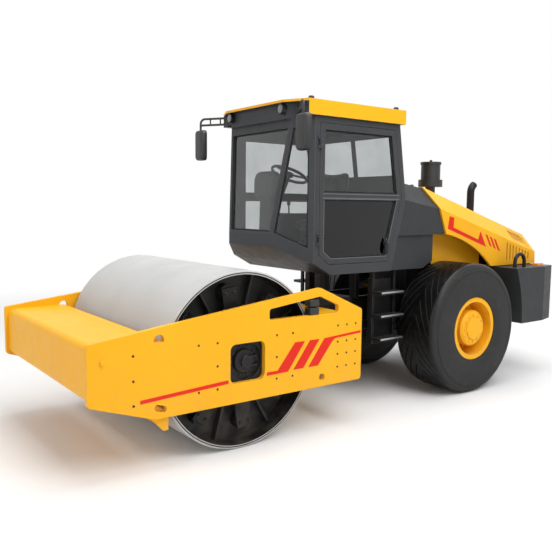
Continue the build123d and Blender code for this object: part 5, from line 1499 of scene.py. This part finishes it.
@dataclass(frozen=True)
class CabTrim:
    """Window gaskets, door trim, handle and lamps of the cab."""

    gasket_gap: float = 0.0002
    gasket_wide: float = 0.016
    gasket_high: float = 0.006
    door_face: float = 0.740
    trim_wide: float = 0.009
    trim_high: float = 0.0025
    trim_gap: float = 0.001
    rail_round: float = 0.0008
    rail_levels: tuple[float, ...] = (2.249, 2.291)
    rail_thick: float = 0.008
    rail_x: Flat = (-0.540, 0.575)
    handle_x: float = -0.350
    handle_z: Flat = (1.640, 1.825)
    handle_wide: float = 0.028
    handle_deep: float = 0.026
    handle_plate: Flat = (-0.001, 0.006)
    handle_round: float = 0.003
    grip_low: float = 0.022
    grip_high: float = 0.050
    grip_foot: float = 0.004
    grip_bend: float = 0.012
    grip_radius: float = 0.009
    lock: tuple[Flat, ...] = ((0.0, 0.010), (0.011, 0.010), (0.013, 0.006), (0.013, -0.001), (0.0, -0.001))
    lock_drop: float = 0.024
    lamp_x: float = 0.920
    lamp_side: float = 0.470
    lamp_z: float = 3.125
    lamp_radius: float = 0.052
    lens_share: float = 0.84
    lens_dome: float = 0.006
    lens_back: float = -0.002
    lens_steps: int = 6
    bezel_back: float = -0.012
    bezel_front: float = 0.005
    bezel_crest: Flat = (0.003, 0.008)
    bezel_flare: float = 0.002

    def gaskets(self, bench: Bench) -> None:
        """Rubber round every pane, inside and out, and pale trim round the door's panes.

        Args:
            bench: Where the pieces are made.
        """
        for node, body in (("cab_glass", Body.REAR), ("door_glass", Body.DOOR)):
            shape = Shape()
            for outline, normal in glass_panes(bench.nodes[node]):
                shape.frame(outline, normal, self.gasket_gap, self.gasket_wide, self.gasket_high)
            bench.settle(shape, f"{node}_gaskets", "seal_rubber", body)
        trim = Shape()
        for outline, normal in glass_panes(bench.nodes["door_glass"]):
            if normal.y > 0 and max(corner.z for corner in outline) < self.rail_levels[1]:
                lifted = [Vector((corner.x, self.door_face, corner.z)) for corner in outline]
                trim.frame(lifted, normal, -self.trim_wide, -self.trim_gap, self.trim_high)
        half = self.rail_thick / 2
        for level in self.rail_levels:
            corners = zip(self.rail_x + self.rail_x[::-1], (-half, -half, half, half))
            outline = [(x, self.door_face, level + shift) for x, shift in corners]
            trim.slab(outline, (0.0, self.trim_high, 0.0), self.rail_round)
        bench.settle(trim, "door_trim", "trim_enamel", Body.DOOR)

    def handle(self, bench: Bench) -> None:
        """Door handle: a back plate, a grip on two feet and a lock barrel.

        Args:
            bench: Where the piece is made.
        """
        shape = Shape()
        low, high = self.handle_z
        half = self.handle_wide / 2
        face = self.door_face
        back, front = self.handle_plate
        shape.block((self.handle_x - half, face + back, low), (self.handle_x + half, face + front, high),
                    self.handle_round)
        grip_low, grip_high = low + self.grip_low, high - self.grip_high
        path = [(grip_low, self.grip_foot), (grip_low + self.grip_bend, self.handle_deep),
                (grip_high - self.grip_bend, self.handle_deep), (grip_high, self.grip_foot)]
        run = smooth_run(path, steps=6)
        shape.tube([(self.handle_x, face + out, level) for level, out in run], self.grip_radius, sides=10)
        shape.lathe(self.lock, (self.handle_x, face, high - self.lock_drop), Axis.Y, steps=20)
        bench.settle(shape, "door_handle", "dark_moulding", Body.DOOR)

    def lamps(self, bench: Bench) -> None:
        """Lens and bezel of the two work lamps.

        Args:
            bench: Where the pieces are made.
        """
        lens = Shape()
        bezel = Shape()
        for side, _name in SIDES:
            centre = (self.lamp_x, side * self.lamp_side, self.lamp_z)
            inner = self.lamp_radius * self.lens_share
            dome = [(0.0, self.lens_dome)]
            for step in range(1, self.lens_steps + 1):
                turn = step * math.pi / (2 * self.lens_steps)
                dome.append((inner * math.sin(turn), self.lens_dome * math.cos(turn)))
            dome += [(inner, self.lens_back), (0.0, self.lens_back)]
            lens.lathe(dome, centre, Axis.X, steps=32)
            rim = ((inner, self.lens_back), (inner, self.bezel_front),
                   (inner + self.bezel_crest[0], self.bezel_crest[1]), (self.lamp_radius, self.bezel_front),
                   (self.lamp_radius + self.bezel_flare, self.bezel_back), (inner, self.bezel_back))
            bezel.lathe(rim, centre, Axis.X, steps=32, closed=True)
        bench.settle(lens, "work_lamp_lenses", "clear_lens", Body.REAR)
        bench.settle(bezel, "work_lamp_bezels", "black_enamel", Body.REAR)

    def build(self, bench: Bench) -> None:
        """Dress the cab.

        Args:
            bench: Where the pieces are made.
        """
        self.gaskets(bench)
        self.handle(bench)
        self.lamps(bench)


@dataclass(frozen=True)
class HoodTrim:
    """Red bands on the hood's sides, the rubber under its edge and its vents' holes."""

    face: float = 0.760
    band: tuple[Flat, ...] = ((-1.387, 2.064), (-1.474, 2.045), (-1.468, 1.928), (-1.948, 1.774),
                              (-1.987, 1.875), (-2.116, 1.678), (-1.359, 1.914))
    dash_front: float = -2.040
    dash_pitch: float = 0.088
    dash_wide: float = 0.050
    dash_lean: float = 0.100
    dash_top: float = 1.842
    dash_low: float = 1.690
    dash_fall: float = 0.34
    dashes: int = 3
    seal_x: Flat = (-3.090, -2.260)
    seal_y: Flat = (0.744, 0.761)
    seal_z: Flat = (1.4225, 1.434)
    seal_round: float = 0.004
    mesh_x: Flat = (-3.050, -2.740)
    mesh_y: Flat = (0.602, 0.700)
    mesh_pitch: float = 0.019
    mesh_hole: Stud = Stud(0.0055, 0.0004, 0.0062, 0.0004, 8)
    crease_x: float = -1.220
    crease_z: float = 2.150
    crease_fall: float = 0.2876
    shoulder: float = 1.11

    def perforations(self, side: int) -> list[Spot]:
        """Places and aims of the holes in the shoulder's vent panel.

        Args:
            side: 1 for the left shoulder, -1 for the right.

        Returns:
            The places and aims.
        """
        aim = Vector((-self.crease_fall, side * self.shoulder, 1.0)).normalized()
        spots = []
        for row in range(int((self.mesh_y[1] - self.mesh_y[0]) / self.mesh_pitch) + 1):
            for column in range(int((self.mesh_x[1] - self.mesh_x[0]) / self.mesh_pitch) + 1):
                x = self.mesh_x[0] + self.mesh_pitch * (column + 0.5 * (row % 2))
                y = self.mesh_y[0] + self.mesh_pitch * row
                z = self.crease_z - self.crease_fall * (self.crease_x - x) + (self.face - y) * self.shoulder
                spots.append(((x, side * y, z), tuple(aim)))
        return spots

    def bands(self) -> list[list[Flat]]:
        """Outlines of the band and its dashes as (x, z) points.

        Returns:
            The outlines.
        """
        outlines = [list(self.band)]
        for step in range(self.dashes):
            front = self.dash_front - self.dash_pitch * (step + 0.5)
            drop = self.dash_fall * self.dash_pitch * step
            fall = self.dash_fall * self.dash_wide
            outlines.append([(front, self.dash_top - drop),
                             (front - self.dash_wide, self.dash_top - drop - fall),
                             (front - self.dash_wide - self.dash_lean, self.dash_low - drop - fall),
                             (front - self.dash_lean, self.dash_low - drop)])
        return outlines

    def build(self, bench: Bench) -> None:
        """Dress the hood.

        Args:
            bench: Where the pieces are made.
        """
        for side, name in SIDES:
            shape = Shape()
            for outline in self.bands():
                shape.decal(side, self.face, outline)
            bench.settle(shape, f"hood_band_{name}", "red_enamel", Body.HOOD)
            seal = Shape()
            seal.side_block(side, self.seal_x, self.seal_y, self.seal_z, self.seal_round, segments=3)
            bench.settle(seal, f"hood_seal_{name}", "seal_rubber", Body.HOOD)
            bench.stud(f"hood_vent_{name}", self.perforations(side), self.mesh_hole, "seal_rubber", Body.HOOD,
                       Slot.BLACK)


@dataclass(frozen=True)
class LadderTrim:
    """Raised studs and bright nosings on the ladder steps."""

    tops: tuple[float, ...] = (0.710, 0.970, 1.230)
    x: Flat = (-0.590, -0.290)
    y: Flat = (0.658, 0.758)
    nosing_x: Flat = (-0.614, -0.266)
    nosing_y: Flat = (0.773, 0.7815)
    nosing_deep: float = 0.016
    nosing_proud: float = 0.0015
    nosing_round: float = 0.001
    along: int = 8
    across: int = 4
    stud: Stud = Stud(0.007, 0.003, 0.009, 0.001, 10)

    def build(self, bench: Bench) -> None:
        """Stud and edge the steps of both ladders.

        Args:
            bench: Where the pieces are made.
        """
        nosings = Shape()
        for side, name in SIDES:
            spots = []
            for top in self.tops:
                edge = (top - self.nosing_deep, top + self.nosing_proud)
                nosings.side_block(side, self.nosing_x, self.nosing_y, edge, self.nosing_round)
                for row in range(self.across):
                    for column in range(self.along):
                        x = self.x[0] + (self.x[1] - self.x[0]) * column / (self.along - 1)
                        y = self.y[0] + (self.y[1] - self.y[0]) * row / (self.across - 1)
                        spots.append(((x, side * y, top), (0.0, 0.0, 1.0)))
            bench.stud(f"step_studs_{name}", spots, self.stud, "black_enamel", Body.REAR, Slot.BLACK)
        bench.settle(nosings, "step_nosings", "zinc_plate", Body.REAR)


@dataclass(frozen=True)
class Seat:
    """Driver's seat: a padded cushion and back with sewn channels, swollen by cloth pressure."""

    cushion_low: Point = (-0.285, -0.245, 1.894)
    cushion_high: Point = (0.205, 0.245, 2.004)
    back_low: Point = (-0.286, -0.240, 2.010)
    back_high: Point = (-0.174, 0.240, 2.564)
    shrink: float = 0.012
    corner: float = 0.035
    voxel: float = 0.006
    pressure: float = 4.0
    frames: int = 20
    quality: int = 5
    cap: float = 0.022
    seam_half: float = 0.115
    seam_wide: float = 0.007
    seam_deep: float = 0.007

    def pad(self, name: str, low: Point, high: Point) -> bpy.types.Object:
        """Rounded closed form, a little smaller than the solid.

        Args:
            name: Name of the pad.
            low: Lowest corner of the solid.
            high: Highest corner of the solid.

        Returns:
            The remeshed pad.
        """
        shape = Shape()
        small = tuple(value + self.shrink for value in low)
        large = tuple(value - self.shrink for value in high)
        shape.block(small, large, self.corner, segments=4)
        pad = put(name, shape.finish(name))
        remesh = pad.modifiers.new("remesh", "REMESH")
        remesh.mode = "VOXEL"
        remesh.voxel_size = self.voxel
        bake(pad)
        return pad

    def swell(self, pad: bpy.types.Object) -> None:
        """Blow the pad up by cloth pressure, with a cap on how far a point moves.

        Args:
            pad: The pad.
        """
        before = [vertex.co.copy() for vertex in pad.data.vertices]
        cloth = pad.modifiers.new("cloth", "CLOTH")
        cloth.settings.use_pressure = True
        cloth.settings.uniform_pressure_force = self.pressure
        cloth.settings.effector_weights.gravity = 0.0
        cloth.settings.quality = self.quality
        cloth.point_cache.frame_start = 1
        cloth.point_cache.frame_end = self.frames
        scene = bpy.context.scene
        for frame in range(1, self.frames + 1):
            scene.frame_set(frame)
        bake(pad)
        scene.frame_set(1)
        for vertex, start in zip(pad.data.vertices, before):
            move = vertex.co - start
            if move.length > self.cap:
                vertex.co = start + move.normalized() * self.cap

    def sew(self, pad: bpy.types.Object) -> None:
        """Press the sewn channels in and smooth the pad.

        Args:
            pad: The pad.
        """
        normals = [vertex.normal.copy() for vertex in pad.data.vertices]
        for vertex, normal in zip(pad.data.vertices, normals):
            press = sum(math.exp(-((vertex.co.y - line) / self.seam_wide) ** 2)
                        for line in (-self.seam_half, self.seam_half))
            vertex.co -= normal * press * self.seam_deep
        smooth = pad.modifiers.new("smooth", "SUBSURF")
        smooth.levels = 1
        smooth.render_levels = 1
        bake(pad)
        pad.data.shade_smooth()

    def build(self, bench: Bench) -> None:
        """Make the seat in place of its plain solid.

        Args:
            bench: Where the pieces are mounted.
        """
        pads = []
        for name, low, high in (("seat_cushion", self.cushion_low, self.cushion_high),
                                ("seat_back", self.back_low, self.back_high)):
            pad = self.pad(name, low, high)
            self.swell(pad)
            self.sew(pad)
            pad.data.materials.clear()
            pad.data.materials.append(bench.paints.get("seat_weave"))
            pads.append(pad)
        bench.mount(pads[0], Body.REAR, ("seat",))
        bench.mount(pads[1], Body.REAR)


@dataclass(frozen=True)
class DriveMotor:
    """Drum motor seen through each plate's window: cover, cap, bolts and hoses."""

    face: float = 1.0715
    cover: tuple[Flat, ...] = ((0.0, 0.068), (0.050, 0.068), (0.056, 0.062), (0.056, 0.040), (0.098, 0.036),
                               (0.108, 0.026), (0.108, 0.0), (0.0, 0.0))
    bolt_circle: float = 0.134
    bolts: int = 10
    bolt: Stud = Stud(0.010, 0.009, 0.014, 0.003)
    hose_radius: float = 0.013
    hose_lifts: Flat = (0.040, -0.040)
    hose_run: tuple[Flat, ...] = ((-0.015, 0.052), (-0.075, 0.052), (-0.112, 0.040), (-0.122, -0.001))

    def hoses(self, shape: Shape, side: int) -> None:
        """Two hoses from the cover back to the flange.

        Args:
            shape: Where they are added.
            side: 1 for the left plate, -1 for the right.
        """
        for lift in self.hose_lifts:
            path = [(DRUM_X + ahead, side * (self.face + out), DRUM_Z + lift)
                    for ahead, out in smooth_run(self.hose_run, steps=8)]
            shape.tube(path, self.hose_radius, sides=12)

    def build(self, bench: Bench) -> None:
        """Fit a motor on both sides.

        Args:
            bench: Where the pieces are made.
        """
        for side, name in SIDES:
            shape = Shape()
            profile = [(radius, side * (self.face + along)) for radius, along in self.cover]
            shape.lathe(profile, (DRUM_X, 0.0, DRUM_Z), Axis.Y, steps=40)
            self.hoses(shape, side)
            bench.settle(shape, f"drum_motor_{name}", "black_enamel", Body.FRONT)
            spots = axle_spots((DRUM_X, DRUM_Z), side, self.face, self.bolt_circle, even_turns(self.bolts))
            bench.stud(f"motor_bolts_{name}", spots, self.bolt, "black_enamel", Body.FRONT, Slot.BLACK)


def rounded_outline(low: Flat, high: Flat, inset: float, corner: float, steps: int = 5) -> list[Flat]:
    """Rectangle with round corners, moved inwards.

    Args:
        low: Lowest corner before the move.
        high: Highest corner before the move.
        inset: Distance of the move.
        corner: Radius of the corners.
        steps: Points on each corner.

    Returns:
        Its points in order.
    """
    points = []
    left, bottom = low[0] + inset, low[1] + inset
    right, top = high[0] - inset, high[1] - inset
    centres = ((right - corner, top - corner), (left + corner, top - corner),
               (left + corner, bottom + corner), (right - corner, bottom + corner))
    for quarter, centre in enumerate(centres):
        for step in range(steps):
            turn = (quarter + step / (steps - 1)) * math.pi / 2
            points.append((centre[0] + corner * math.cos(turn), centre[1] + corner * math.sin(turn)))
    return points


@dataclass(frozen=True)
class Mirrors:
    """Both mirrors: domed heads under ladder-shaped arms, with silvered panes."""

    x: Flat = (0.971, 1.041)
    y: Flat = (0.862, 1.042)
    z: Flat = (2.684, 3.030)
    corner: float = 0.040
    corner_share: float = 0.5
    domes: tuple[Flat, ...] = ((0.0, 0.006), (0.004, 0.0), (0.046, 0.001), (0.060, 0.008), (0.067, 0.018),
                               (0.070, 0.030))
    pane_inset: float = 0.012
    pane_thick: float = 0.0012
    pane_sunk: float = 0.0003
    root: Flat = (0.800, 0.610)
    levels: Flat = (3.085, 3.155)
    bar: float = 0.0125
    rung: float = 0.008
    bend: float = 0.055
    bend_steps: int = 6
    arm_sunk: float = 0.01
    rungs: tuple[float, ...] = (0.36, 0.68)

    def rim(self, inset: float) -> list[Flat]:
        """Outline of a head as (y, z) points, moved inwards."""
        return rounded_outline((self.y[0], self.z[0]), (self.y[1], self.z[1]), inset,
                               self.corner - inset * self.corner_share)

    def head(self, shape: Shape, side: int) -> None:
        """Domed head.

        Args:
            shape: Where it is added.
            side: 1 for the left mirror, -1 for the right.
        """
        shape.loft([[(self.x[0] + depth, side * y, z) for y, z in self.rim(inset)]
                    for depth, inset in self.domes])

    def arm(self, shape: Shape, side: int) -> None:
        """Two bars and their rungs, the upper one bent down to the head.

        Args:
            shape: Where they are added.
            side: 1 for the left mirror, -1 for the right.
        """
        foot = Vector((sum(self.x) / 2, side * sum(self.y) / 2, 0.0))
        root = Vector((self.root[0], side * self.root[1], 0.0))
        way = (foot - root).normalized()
        rise = Vector((0.0, 0.0, 1.0))
        low, high = self.levels
        path = [root + rise * high]
        for step in range(self.bend_steps + 1):
            turn = step / self.bend_steps * math.pi / 2
            level = high - self.bend * (1 - math.cos(turn))
            path.append(foot + way * self.bend * (math.sin(turn) - 1) + rise * level)
        path.append(foot + rise * (self.z[1] - self.arm_sunk))
        shape.tube(path, self.bar, sides=12)
        shape.tube([root + rise * low, foot + rise * low], self.bar, sides=12)
        for share in self.rungs:
            spot = root.lerp(foot, share)
            shape.tube([spot + rise * low, spot + rise * high], self.rung, sides=10)

    def build(self, bench: Bench) -> None:
        """Make both mirrors in place of their solid.

        Args:
            bench: Where the pieces are made.
        """
        shape = Shape()
        panes = Shape()
        for side, _name in SIDES:
            self.head(shape, side)
            self.arm(shape, side)
            pane = [(self.x[0] + self.pane_sunk, side * y, z) for y, z in self.rim(self.pane_inset)]
            panes.slab(pane, (-self.pane_thick, 0.0, 0.0))
        bench.settle(shape, "mirror_heads", "dark_moulding", Body.REAR, ("mirrors",))
        bench.settle(panes, "mirror_panes", "mirror_silver", Body.REAR)


@dataclass(frozen=True)
class Console:
    """Driver's console: a moulded pod with dials on a column, and the control panel beside the seat."""

    pod_low: Flat = (0.640, -0.183)
    pod_high: Flat = (0.803, 0.183)
    pod_corner: float = 0.066
    pod_rings: tuple[Flat, ...] = ((2.242, 0.040), (2.258, 0.012), (2.300, 0.0), (2.420, 0.0), (2.470, 0.006),
                                   (2.505, 0.020), (2.525, 0.040), (2.533, 0.058))
    column_low: Flat = (0.652, -0.109)
    column_high: Flat = (0.793, 0.109)
    column_corner: float = 0.040
    column_rings: tuple[Flat, ...] = ((1.6412, 0.0), (1.690, 0.0), (1.810, 0.012), (2.200, 0.020),
                                      (2.262, 0.010))
    floor_rise: float = 0.543
    floor_rings: int = 2
    corner_share: float = 0.6
    corner_least: float = 0.02
    corner_steps: int = 7
    stem: tuple[Flat, ...] = ((0.4392, 2.4915), (0.662, 2.012))
    stem_radius: float = 0.0218
    panel: tuple[Flat, ...] = ((-0.300, 1.522), (0.300, 1.522), (0.340, 1.800), (0.200, 2.080),
                               (-0.300, 2.080))
    panel_y: Flat = (-0.590, -0.345)
    panel_round: float = 0.022
    lever: Point = (0.090, -0.440, 2.078)
    lever_lean: float = 0.008
    lever_z: Flat = (-0.01, 0.105)
    lever_radius: float = 0.009
    knob: tuple[Flat, ...] = ((0.0, 0.0), (0.016, 0.004), (0.022, 0.018), (0.020, 0.036), (0.012, 0.046),
                              (0.0, 0.048))
    knob_z: float = 0.0924
    dial_sides: tuple[float, ...] = (-0.062, 0.062)
    dial_level: float = 2.400
    dial: tuple[Flat, ...] = ((0.0, -0.002), (0.82, -0.002), (0.88, -0.007), (1.0, -0.005), (1.0, 0.004),
                              (0.0, 0.004))
    dial_radius: float = 0.034

    def side_panel(self, bench: Bench) -> None:
        """Control panel beside the seat, with its lever.

        Args:
            bench: Where the piece is made.
        """
        shape = Shape()
        near, far = self.panel_y
        shape.slab([(x, near, z) for x, z in self.panel], (0.0, far - near, 0.0), self.panel_round, segments=3)
        x, y, z = self.lever
        foot, head = self.lever_z
        shape.tube([(x, y, z + foot), (x + self.lever_lean, y, z + head)], self.lever_radius, sides=10)
        shape.lathe(self.knob, (x + self.lever_lean, y, z + self.knob_z), Axis.Z, steps=18)
        bench.settle(shape, "side_panel", "dark_moulding", Body.REAR)

    def build(self, bench: Bench) -> None:
        """Make the console in place of its solid.

        Args:
            bench: Where the pieces are made.
        """
        shape = Shape()
        shape.tube([(x, 0.0, z) for x, z in self.stem], self.stem_radius, sides=16)
        for low, high, corner, levels in ((self.pod_low, self.pod_high, self.pod_corner, self.pod_rings),
                                          (self.column_low, self.column_high, self.column_corner,
                                           self.column_rings)):
            rings = []
            for index, (level, inset) in enumerate(levels):
                bend = max(corner - inset * self.corner_share, self.corner_least)
                outline = rounded_outline(low, high, inset, bend, self.corner_steps)
                lean = self.floor_rise if levels is self.column_rings and index < self.floor_rings else 0.0
                rings.append([(x, y, level + lean * (x - low[0])) for x, y in outline])
            shape.loft(rings)
        self.side_panel(bench)
        bench.settle(shape, "console_pod", "dark_moulding", Body.REAR, ("console",))
        dials = Shape()
        profile = [(self.dial_radius * share, along) for share, along in self.dial]
        for aside in self.dial_sides:
            dials.lathe(profile, (self.pod_low[0], aside, self.dial_level), Axis.X, steps=28)
        bench.settle(dials, "console_dials", "trim_enamel", Body.REAR)


@dataclass(frozen=True)
class Exhaust:
    """Exhaust stack with a bent open mouth and a collar on the hood."""

    x: float = -2.330
    y: float = 0.330
    foot: float = 2.050
    straight: float = 2.362
    bend: float = 0.125
    turn: float = math.radians(58.0)
    turn_steps: int = 8
    radius: float = 0.048
    wall: float = 0.005
    mouth_deep: float = 0.010
    collar: tuple[Flat, ...] = ((0.0, -0.03), (0.060, -0.03), (0.060, 0.018), (0.054, 0.030),
                                (0.0, 0.030))
    hood_top: float = 2.053

    def build(self, bench: Bench) -> None:
        """Make the stack in place of its solid.

        Args:
            bench: Where the pieces are made.
        """
        path = [Vector((self.x, self.y, self.foot)), Vector((self.x, self.y, self.straight))]
        for step in range(1, self.turn_steps + 1):
            turn = self.turn * step / self.turn_steps
            path.append(Vector((self.x - self.bend * (1 - math.cos(turn)), self.y,
                                self.straight + self.bend * math.sin(turn))))
        radii = [self.radius] * len(path)
        back = path[-1] + (path[-2] - path[-1]).normalized() * self.mouth_deep
        shape = Shape()
        radii += [self.radius - self.wall] * 2
        shape.tube(path + [path[-1], back], self.radius, sides=24, radii=radii)
        shape.lathe(self.collar, (self.x, self.y, self.hood_top), Axis.Z, steps=28)
        bench.settle(shape, "exhaust_stack", "black_enamel", Body.HOOD, ("exhaust",))


@dataclass(frozen=True)
class RearTrim:
    """Tie-down loops, the dark bay liners and the rear window's middle bar."""

    loop_x: float = -2.546
    loop_y: float = 0.960
    loop_top: float = 1.485
    loop_foot: float = 1.4195
    loop_radius: float = 0.100
    loop_bar: float = 0.023
    loop_steps: int = 16
    liner_x: Flat = (-2.760, -2.285)
    liner_y: Flat = (0.505, 0.515)
    liner_z: Flat = (1.425, 1.640)
    liner_round: float = 0.003
    bar_half: float = 0.022
    bar_high: float = 0.014
    bar_round: float = 0.003
    pane_facing: float = 0.8
    pane_aside: float = 0.2

    def loops(self, bench: Bench) -> None:
        """Bent loops in place of their solid.

        Args:
            bench: Where the piece is made.
        """
        shape = Shape()
        for side, _name in SIDES:
            path = [(self.loop_x + self.loop_radius, side * self.loop_y, self.loop_foot)]
            for step in range(self.loop_steps + 1):
                turn = math.pi * step / self.loop_steps
                path.append((self.loop_x + self.loop_radius * math.cos(turn), side * self.loop_y,
                             self.loop_top + self.loop_radius * math.sin(turn)))
            path.append((self.loop_x - self.loop_radius, side * self.loop_y, self.loop_foot))
            shape.tube(path, self.loop_bar, sides=14)
        bench.settle(shape, "tie_down_loops", "black_enamel", Body.REAR, ("tie_loops",))

    def liners(self, bench: Bench) -> None:
        """Dark panels inside the engine bay behind the wheels.

        Args:
            bench: Where the piece is made.
        """
        shape = Shape()
        for side, _name in SIDES:
            shape.side_block(side, self.liner_x, self.liner_y, self.liner_z, self.liner_round)
        bench.settle(shape, "bay_liners", "black_enamel", Body.REAR)

    def window_bar(self, bench: Bench) -> None:
        """Upright bar on both faces of the rear window.

        Args:
            bench: Where the piece is made.
        """
        shape = Shape()
        across = Vector((0.0, 1.0, 0.0))
        for outline, normal in glass_panes(bench.nodes["cab_glass"]):
            middle = sum(outline, Vector()) / len(outline)
            if abs(normal.x) < self.pane_facing or middle.x > 0.0 or abs(middle.y) > self.pane_aside:
                continue
            rise = normal.cross(across).normalized()
            reach = [(corner - middle).dot(rise) for corner in outline]
            corners = [middle + rise * level + across * (aside - middle.y)
                       for level, aside in ((min(reach), -self.bar_half), (min(reach), self.bar_half),
                                            (max(reach), self.bar_half), (max(reach), -self.bar_half))]
            shape.slab(corners, normal * self.bar_high, self.bar_round)
        bench.settle(shape, "rear_window_bar", "charcoal_enamel", Body.REAR)

    def build(self, bench: Bench) -> None:
        """Dress the rear half.

        Args:
            bench: Where the pieces are made.
        """
        self.loops(bench)
        self.liners(bench)
        self.window_bar(bench)


@dataclass(frozen=True)
class Studio:
    """Pale floor, soft light and the camera of the photograph's view."""

    eye: Point = (4.9232, 5.8368, 2.157)
    yaw: float = 0.6372
    pitch: float = -0.105
    roll: float = 0.0092
    lens: float = 42.94
    sensor: float = 36.0
    sight: float = 400.0
    floor_size: float = 120.0
    floor_colour: Colour = grey(0.86)
    floor_shade: Colour = grey(0.88)
    floor_noise: Flat = (0.4, 3.0)
    floor_roughness: float = 0.9
    fade_from: float = 4.5
    fade_to: float = 11.0
    sky: float = 0.45
    lamp_target: Point = (0.0, 0.0, 1.2)
    lamps: tuple[tuple[str, Point, float, float], ...] = (
        ("key", (0.8, 7.5, 8.5), 6.0, 590.0), ("front", (10.0, 1.0, 5.0), 6.0, 175.0),
        ("back", (-8.0, -5.0, 7.0), 6.0, 300.0), ("top", (0.0, 0.5, 9.5), 7.0, 560.0))

    def camera(self) -> None:
        """Place the camera."""
        ahead = Vector((-math.sin(self.yaw) * math.cos(self.pitch),
                        -math.cos(self.yaw) * math.cos(self.pitch), math.sin(self.pitch)))
        right = ahead.cross(Vector((0, 0, 1))).normalized()
        up = right.cross(ahead)
        across = right * math.cos(self.roll) + up * math.sin(self.roll)
        rise = up * math.cos(self.roll) - right * math.sin(self.roll)
        data = bpy.data.cameras.new("photo_view")
        data.sensor_width = self.sensor
        data.lens = self.lens
        data.clip_end = self.sight
        camera = put("photo_view", data)
        turn = Matrix((across, rise, -ahead)).transposed().to_4x4()
        camera.matrix_world = Matrix.Translation(self.eye) @ turn
        bpy.context.scene.camera = camera

    def floor(self) -> None:
        """Lay the floor, which fades to white away from the machine."""
        half = self.floor_size / 2
        mesh = bpy.data.meshes.new("floor")
        square = ((-half, -half), (half, -half), (half, half), (-half, half))
        corners = [(x, y, -FLOOR_DROP) for x, y in square]
        mesh.from_pydata(corners, [], [(0, 1, 2, 3)])
        net = Net("floor_paper")
        tone = net.mix(net.noise(*self.floor_noise), rgba(self.floor_colour), rgba(self.floor_shade))
        net.fill(net.shader, Base_Color=tone, Roughness=self.floor_roughness)
        reach = net.add("VectorMath", {"operation": "LENGTH"})
        net.link(net.place(), reach.inputs[0])
        fade = net.remap(reach.outputs["Value"], self.fade_from, self.fade_to)
        rays = net.add("LightPath")
        shown = net.math("ADD", rays.outputs["Is Camera Ray"], rays.outputs["Is Transmission Ray"])
        shown = net.math("ADD", shown, rays.outputs["Is Glossy Ray"])
        glow = net.add("Emission", None, Color=rgba(grey(1.0)), Strength=1.0)
        blend = net.add("MixShader")
        net.link(net.math("MULTIPLY", fade, net.math("MINIMUM", shown, 1.0)), blend.inputs[0])
        net.link(net.shader.outputs["BSDF"], blend.inputs[1])
        net.link(glow.outputs["Emission"], blend.inputs[2])
        net.link(blend.outputs["Shader"], net.output.inputs["Surface"])
        mesh.materials.append(net.material)
        put("floor", mesh)

    def world(self) -> None:
        """White background and soft sky light."""
        world = bpy.data.worlds.new("studio")
        world.use_nodes = True
        tree = world.node_tree
        tree.nodes.clear()
        output = tree.nodes.new("ShaderNodeOutputWorld")
        rays = tree.nodes.new("ShaderNodeLightPath")
        soft = tree.nodes.new("ShaderNodeBackground")
        soft.inputs["Strength"].default_value = self.sky
        white = tree.nodes.new("ShaderNodeBackground")
        for node in (soft, white):
            node.inputs["Color"].default_value = rgba(grey(1.0))
        blend = tree.nodes.new("ShaderNodeMixShader")
        shown = rays.outputs["Is Camera Ray"]
        for kind in ("Is Transmission Ray", "Is Glossy Ray"):
            either = tree.nodes.new("ShaderNodeMath")
            either.operation = "MAXIMUM"
            tree.links.new(shown, either.inputs[0])
            tree.links.new(rays.outputs[kind], either.inputs[1])
            shown = either.outputs[0]
        tree.links.new(shown, blend.inputs[0])
        tree.links.new(soft.outputs[0], blend.inputs[1])
        tree.links.new(white.outputs[0], blend.inputs[2])
        tree.links.new(blend.outputs[0], output.inputs["Surface"])
        bpy.context.scene.world = world

    def lamp(self, name: str, place: Point, size: float, power: float) -> None:
        """Hang one square lamp that faces the machine's middle.

        Args:
            name: Name of the lamp.
            place: Where it hangs.
            size: Edge of the square.
            power: Watts.
        """
        data = bpy.data.lights.new(name, "AREA")
        data.shape = "SQUARE"
        data.size = size
        data.energy = power
        aim = Vector(self.lamp_target) - Vector(place)
        turn = aim.to_track_quat("-Z", "Y").to_matrix().to_4x4()
        put(name, data).matrix_world = Matrix.Translation(place) @ turn

    def build(self) -> None:
        """Set up camera, floor, sky and lamps."""
        bpy.context.scene.view_settings.view_transform = "Standard"
        self.camera()
        self.floor()
        self.world()
        for lamp in self.lamps:
            self.lamp(*lamp)


def main() -> None:
    """Build the dressed machine."""
    logging.basicConfig(level=logging.INFO, format="%(name)s: %(message)s")
    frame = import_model()
    paints = Paintbox()
    dress_nodes(frame["nodes"], paints)
    bench = Bench(paints, frame["nodes"])
    trims = (PlateTrim(), DrumTrim(), Tyre(1, "tyre_left", Body.WHEEL_LEFT),
             Tyre(-1, "tyre_right", Body.WHEEL_RIGHT), HubTrim(), DriveMotor(), CabTrim(), Mirrors(),
             Console(), HoodTrim(), Exhaust(), LadderTrim(), RearTrim(), Seat())
    for trim in trims:
        trim.build(bench)
    Studio().build()
    bpy.context.view_layer.update()


if __name__ == "__main__":
    main()
